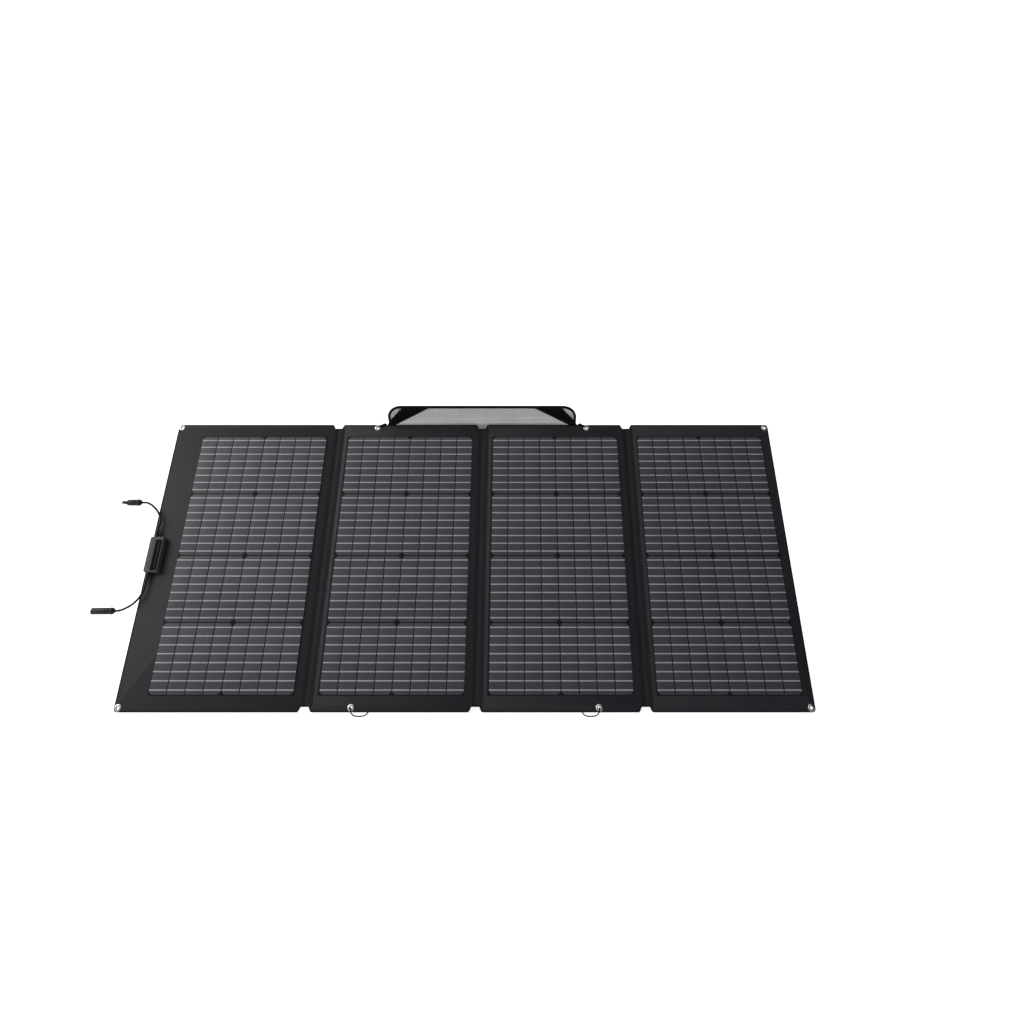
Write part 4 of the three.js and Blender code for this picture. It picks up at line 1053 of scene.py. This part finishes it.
def bluntWave(wave, flat, rolled):
    # a sine or cosine to a power, which blunts its ends, sized from the flat band's half to the rolled grip's
    size = handle[flat] + (handle[rolled] - handle[flat]) * roll[:, None]
    return np.sign(wave) * np.abs(wave) ** blunt * size / 2


px, pz = bluntWave(np.cos(angle), "band", "grip"), bluntWave(np.sin(angle), "thick", "gripThick")
rings = line[:, None] + px[..., None] * sideways[:, None] + pz[..., None] * [0, 0, 1]
band = gridPatch(rings, False, True, True, True, wear=0.25)
putMesh("handle_band", band, baseStand, "handleWebbing", "handle", "carry_handle", smooth=60)
hump = smoothPath([(-1.5, 0, 0), (-1.1, 0, 0.3), (0, 0, 0.4), (1.1, 0, 0.3), (1.5, 0, 0)], 2)
stitch = carried(hump, disc(0.26, 6), (0, 0, 1))


def stitchRun(corners, pitch=4.2, level=0.0):
    # stitches at an even pitch along straight runs between corners
    spots, turns = [], []
    for a, b in zip(np.array(corners, float)[:-1], np.array(corners, float)[1:]):
        count = max(int(np.linalg.norm(b - a) / pitch), 1)
        spots.append(a + (np.arange(count) + 0.5)[:, None] / count * (b - a))
        turns.append(np.full(count, np.arctan2(*(b - a)[::-1])))
    return scattered(stitch, raised(np.vstack(spots), level), np.concatenate(turns))


wallAxes = [[0, 1, 0], [0, 0, 1], [1, 0, 0]]  # x along the side wall, y up it, z outwards
anchors, threads = [], []
for y in (-hy, hy):
    tab = boxShell(13, 12, 1.2, [(0.2, 0), (0, 0.15), (0, 0.4), (0.4, 0.6)], corner=4,
                   wear=np.array([.2, .8, .8, .4]))
    onWall = (case["halfX"] + 0.3, case["halfY"] + y, handle["patchUp"])
    anchors.append(moved(tab, wallAxes, onWall))
    tunnel = carried([(handle["footX"] - 0.2, case["halfY"] + y + q, handle["level"])
                      for q in (-12.6, -12.2, -8, 0, 8, 12.2, 12.6)],
                     disc(2.4, 18) * [1, 0.92], (0, 0, 1), swell=[0.85, 1, 1, 1, 1, 1, 0.85])
    anchors.append(tunnel)
    cross = [(-10.5, -9.5), (10.5, -9.5), (10.5, 7), (-10.5, 7), (-10.5, -9.5), (10.5, 7), (-10.5, 7),
             (10.5, -9.5)]
    threads.append(moved(stitchRun(cross, level=0.05), wallAxes, onWall))
putMesh("handle_patches", anchors, baseStand, "handleWebbing", "case_base")
putMesh("handle_patch_stitching", threads, baseStand, "seamThread", "case_base")

# small tabs on the front wall that hold the ties
tab = boxShell(7, 9, 1, [(0.3, 0), (0, 0.3), (0, 1.1), (0.5, 1.45)], corner=4)
tieEnd = ties["fromFold"] - ties["route"][-1][0]
frontAxes = [[1, 0, 0], [0, 0, 1], [0, -1, 0]]  # x along the front wall, y up it, z outwards
tabs = [moved(tab, frontAxes, (way * tieEnd, -0.2, 15)) for way in (-1, 1)]
putMesh("tie_tabs", tabs, baseStand, "webbingCloth", "case_base")
print("lower half of the case made")

# upper half of the case: z towards its inside, so the outside face is the low one
lidRows = [(284, -10.2), (200, -10.2), (120, -10.1), (70, -9.8), (45, -9.5), (30, -9.2), (25, -9.0),
           (22.6, -8.5), (21.4, -8.5), (19, -9.0), (12, -9.1), (6, -8.8), (2.4, -7.8), (0.7, -6.2), (0, -4.6),
           (0.2, -3.2), (0.9, -2.2), (2, -1.95), (3.6, -2), (4.7, -2.4), (5, -3.4), (5.4, -4.9), (8, -5.4),
           (60, -5.5), (250, -5.5)]
lidWear = np.array([0] * 8 + [0, 0, .3, .7, 1, 1, .6, .4, .6, .6, .2] + [0] * 6)
shell = boxShell(case["lidHalfX"], case["halfY"], case["radius"], lidRows, case["corner"], case["straight"],
                 lidMiddle, wear=lidWear)
x, y, z = shell["points"].T
swell = np.clip((-z - 8.9) / 1.3, 0, 1) * (0.9 * slow(x, y, 3.7) - 0.3)
shell["points"] = np.stack([x, y, z + swell], 1)
putMesh("case_flap", shell, lidStand, "lidFabric", "case_lid", "case_lid_shell", smooth=60)
pipes = [pipeAround(case["lidHalfX"], lidMiddle, *pipe)
         for pipe in ((1.4, -7.7, case["piping"]), (-0.1, -3.2, 1.2))]
putMesh("case_flap_piping", pipes, lidStand, "bindingTape", "case_lid")
seamIn = 22  # the seam's distance from the flap's edge
seamLoop = loopOf(case["lidHalfX"] - seamIn, case["halfY"] - seamIn, case["radius"] - seamIn, 8, 1, lidMiddle)
seam = stitchRun(np.vstack([seamLoop, seamLoop[:1]]))
seam["points"][:, 2] = -8.75 - seam["points"][:, 2]
putMesh("case_flap_stitching", seam, lidStand, "seamThread", "case_lid")
crease = {"at": 786, "sway": 3, "swayLength": 140, "height": 1.3, "width": 4.5, "lift": 1.8, "liftOver": 40}


def lidCreases(x, y):
    # slantwise folds, and one straight crease across near the free end where the flap is folded for storage
    past = y - crease["at"] - crease["sway"] * np.sin(x / crease["swayLength"])
    ridge = crease["height"] * np.exp(-(past / crease["width"]) ** 2)
    return 0.45 + 0.8 * creased(x, y) + ridge + crease["lift"] * np.clip(past / crease["liftOver"], 0, 1)


layLining("case_flap_lining", case["lidHalfX"], lidMiddle, lining["flapLevel"], lidCreases,
          lidStand, "case_lid")
zipPath = rimPath(case["lidHalfX"], lidMiddle, lambda y: y > 2 + case["spineMargin"])
tape, teeth = zipHalf(zipPath, case["flapZip"])
putMesh("case_flap_zip_tape", tape, lidStand, "webbingCloth", "case_lid", "zip_tape_lid")
putMesh("case_flap_zip_teeth", teeth, lidStand, "zipNylon", "case_lid")

# corner straps from the free end's rim to a narrow tip
strap = {"back": -0.1, "front": 0.85, "edge": 0.3, "seamIn": 4.2, "stitchPitch": 4.6,
         "corners": [(287, 756), (301, 744), (302, 753), (293, 776), (245, 839), (161, 839)],
         "cuts": [2, 2, 3, 16, 3, 3]}
for side, way in (("left", -1), ("right", 1)):
    outline = (softCorners(strap["corners"], strap["cuts"]) * [way, 1])[::way]
    parts = plate(outline, [], strap["back"], strap["front"], strap["edge"])
    piece = putMesh(f"strap_{side}", parts, lidStand, "webbingCloth", "case_lid",
                    f"corner_strap_{side}")
    xs, ys = outline.T
    size = ((xs.max() - xs.min()) / 1000, (ys.max() - ys.min()) / 1000)
    inner = inset(outline, strap["seamIn"])
    line = stitchRun(np.vstack([inner, inner[:1]]), strap["stitchPitch"], strap["front"] - 0.08)
    putMesh(f"strap_stitching_{side}", line, lidStand, "seamThread", "case_lid")

# spine cloth: up the rear wall of the lower half, round the hinge line and onto the back of the upper half
spine = {"half": 243, "thick": 0.9, "line": [(838.9, 6), (839.0, 14), (839.1, 24), (839.3, 33), (841.2, 38.2),
                                             (845.2, 42.6),
                                              (847.7, 47.0), (846.6, 51.6), (842.6, 58.0), (838.4, 64.2)]}
line = smoothPath(spine["line"], 6)
ahead = np.gradient(line, axis=0)
outward = np.stack([ahead[:, 1], -ahead[:, 0]], 1) / np.linalg.norm(ahead, axis=1, keepdims=True)
across = np.linspace(-spine["half"], spine["half"], 60)
crumple = 0.35 * slow(across[None] * 1.5, 4 * line[:, 1:], 0.9)
outer, inner = (line[:, None] + (crumple[..., None] + d) * outward[:, None]
                for d in (0.5 * spine["thick"], -0.5 * spine["thick"]))
layer = lambda grid: np.stack([across[None] + 0 * grid[..., 0], grid[..., 0], grid[..., 1]], -1)
shell = np.concatenate([layer(outer), layer(inner)[:, ::-1]], 1)
shell = gridPatch(shell, False, True, True, True)
cloth = putMesh("spine_cloth", shell, baseStand, "spineFabric", None, "case_spine", smooth=70)
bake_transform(cloth)
print("upper half, straps and spine made")

# nodes that keep their own shape
for node, finish in (("junction_box_gasket", "softRubber"), ("terminal_board", "circuitGreen"),
                     ("bypass_diode", "blackPlastic")):
    slots = frame["nodes"][node].data.materials
    slots.clear()
    slots.append(finishes[finish])

# ground and light: lengths in metres, the rest strengths of light
light = {"left": 1.08, "right": 0.02, "level": 0.1, "zenith": 1.15, "backdrop": 1.05, "keyPower": 62,
         "keySize": 2.6, "keyAt": (-3.6, -1.2, 2.9), "aimAt": (0, 0, 0.25), "glow": 0.85, "bounce": 0.3,
         "floorHalf": 90}
white = (1, 1, 1, 1)
ground = finishes["paleGround"] = bpy.data.materials.new("paleGround")
ground.use_nodes = True
tree = ground.node_tree
shader = tree.nodes["Principled BSDF"].inputs
for label, value in (("Base Color", (0.93, 0.93, 0.93, 1)), ("Roughness", 0.9), ("Specular IOR Level", 0.1),
                     ("Emission Color", white)):
    shader[label].default_value = value
seen = tree.nodes.new("ShaderNodeLightPath").outputs["Is Camera Ray"]
glow = maths(tree, "MULTIPLY_ADD", seen, light["glow"] - light["bounce"], light["bounce"])
tree.links.new(glow, shader["Emission Strength"])
reach, below = light["floorHalf"] * 1000, -0.8
square = [(x * reach, y * reach, below) for x, y in ((-1, -1), (1, -1), (1, 1), (-1, 1))]
putMesh("ground", patchOf(square, np.array([[0, 1, 2, 3]])), groundStand, "paleGround")

# the room is brighter from the left and from above, and even where the view meets it
world = bpy.data.worlds.new("softRoom")
bpy.context.scene.world = world
world.use_nodes = True
tree = world.node_tree
backdrop = tree.nodes["Background"].inputs
heading = partsOf(tree, tree.nodes.new("ShaderNodeTexCoord").outputs["Generated"])
sideways = maths(tree, "MULTIPLY_ADD", heading[0], 1.0, 0.5, clamp=True)
strength = maths(tree, "MULTIPLY_ADD", sideways, light["right"] - light["left"], light["left"])
upward = maths(tree, "MAXIMUM", heading[2], 0.0)
strength = maths(tree, "MULTIPLY", strength, maths(tree, "MULTIPLY_ADD", upward, light["zenith"],
                                                   light["level"]))
seen = tree.nodes.new("ShaderNodeLightPath").outputs["Is Camera Ray"]
level = newNode(tree, "Mix", {0: seen, 2: strength, 3: light["backdrop"]})
tree.links.new(level.outputs[0], backdrop["Strength"])
backdrop["Color"].default_value = white
lamp = bpy.data.lights.new("keyPanel", "AREA")
lamp.energy, lamp.size = light["keyPower"], light["keySize"]
lampObject = bpy.data.objects.new("keyPanel", lamp)
lampObject.location = light["keyAt"]
lampObject.rotation_euler = (Vector(light["aimAt"]) - lampObject.location).to_track_quat("-Z", "Y").to_euler()
bpy.context.scene.collection.objects.link(lampObject)
bpy.context.scene.view_settings.view_transform = "Standard"
print("room lit")
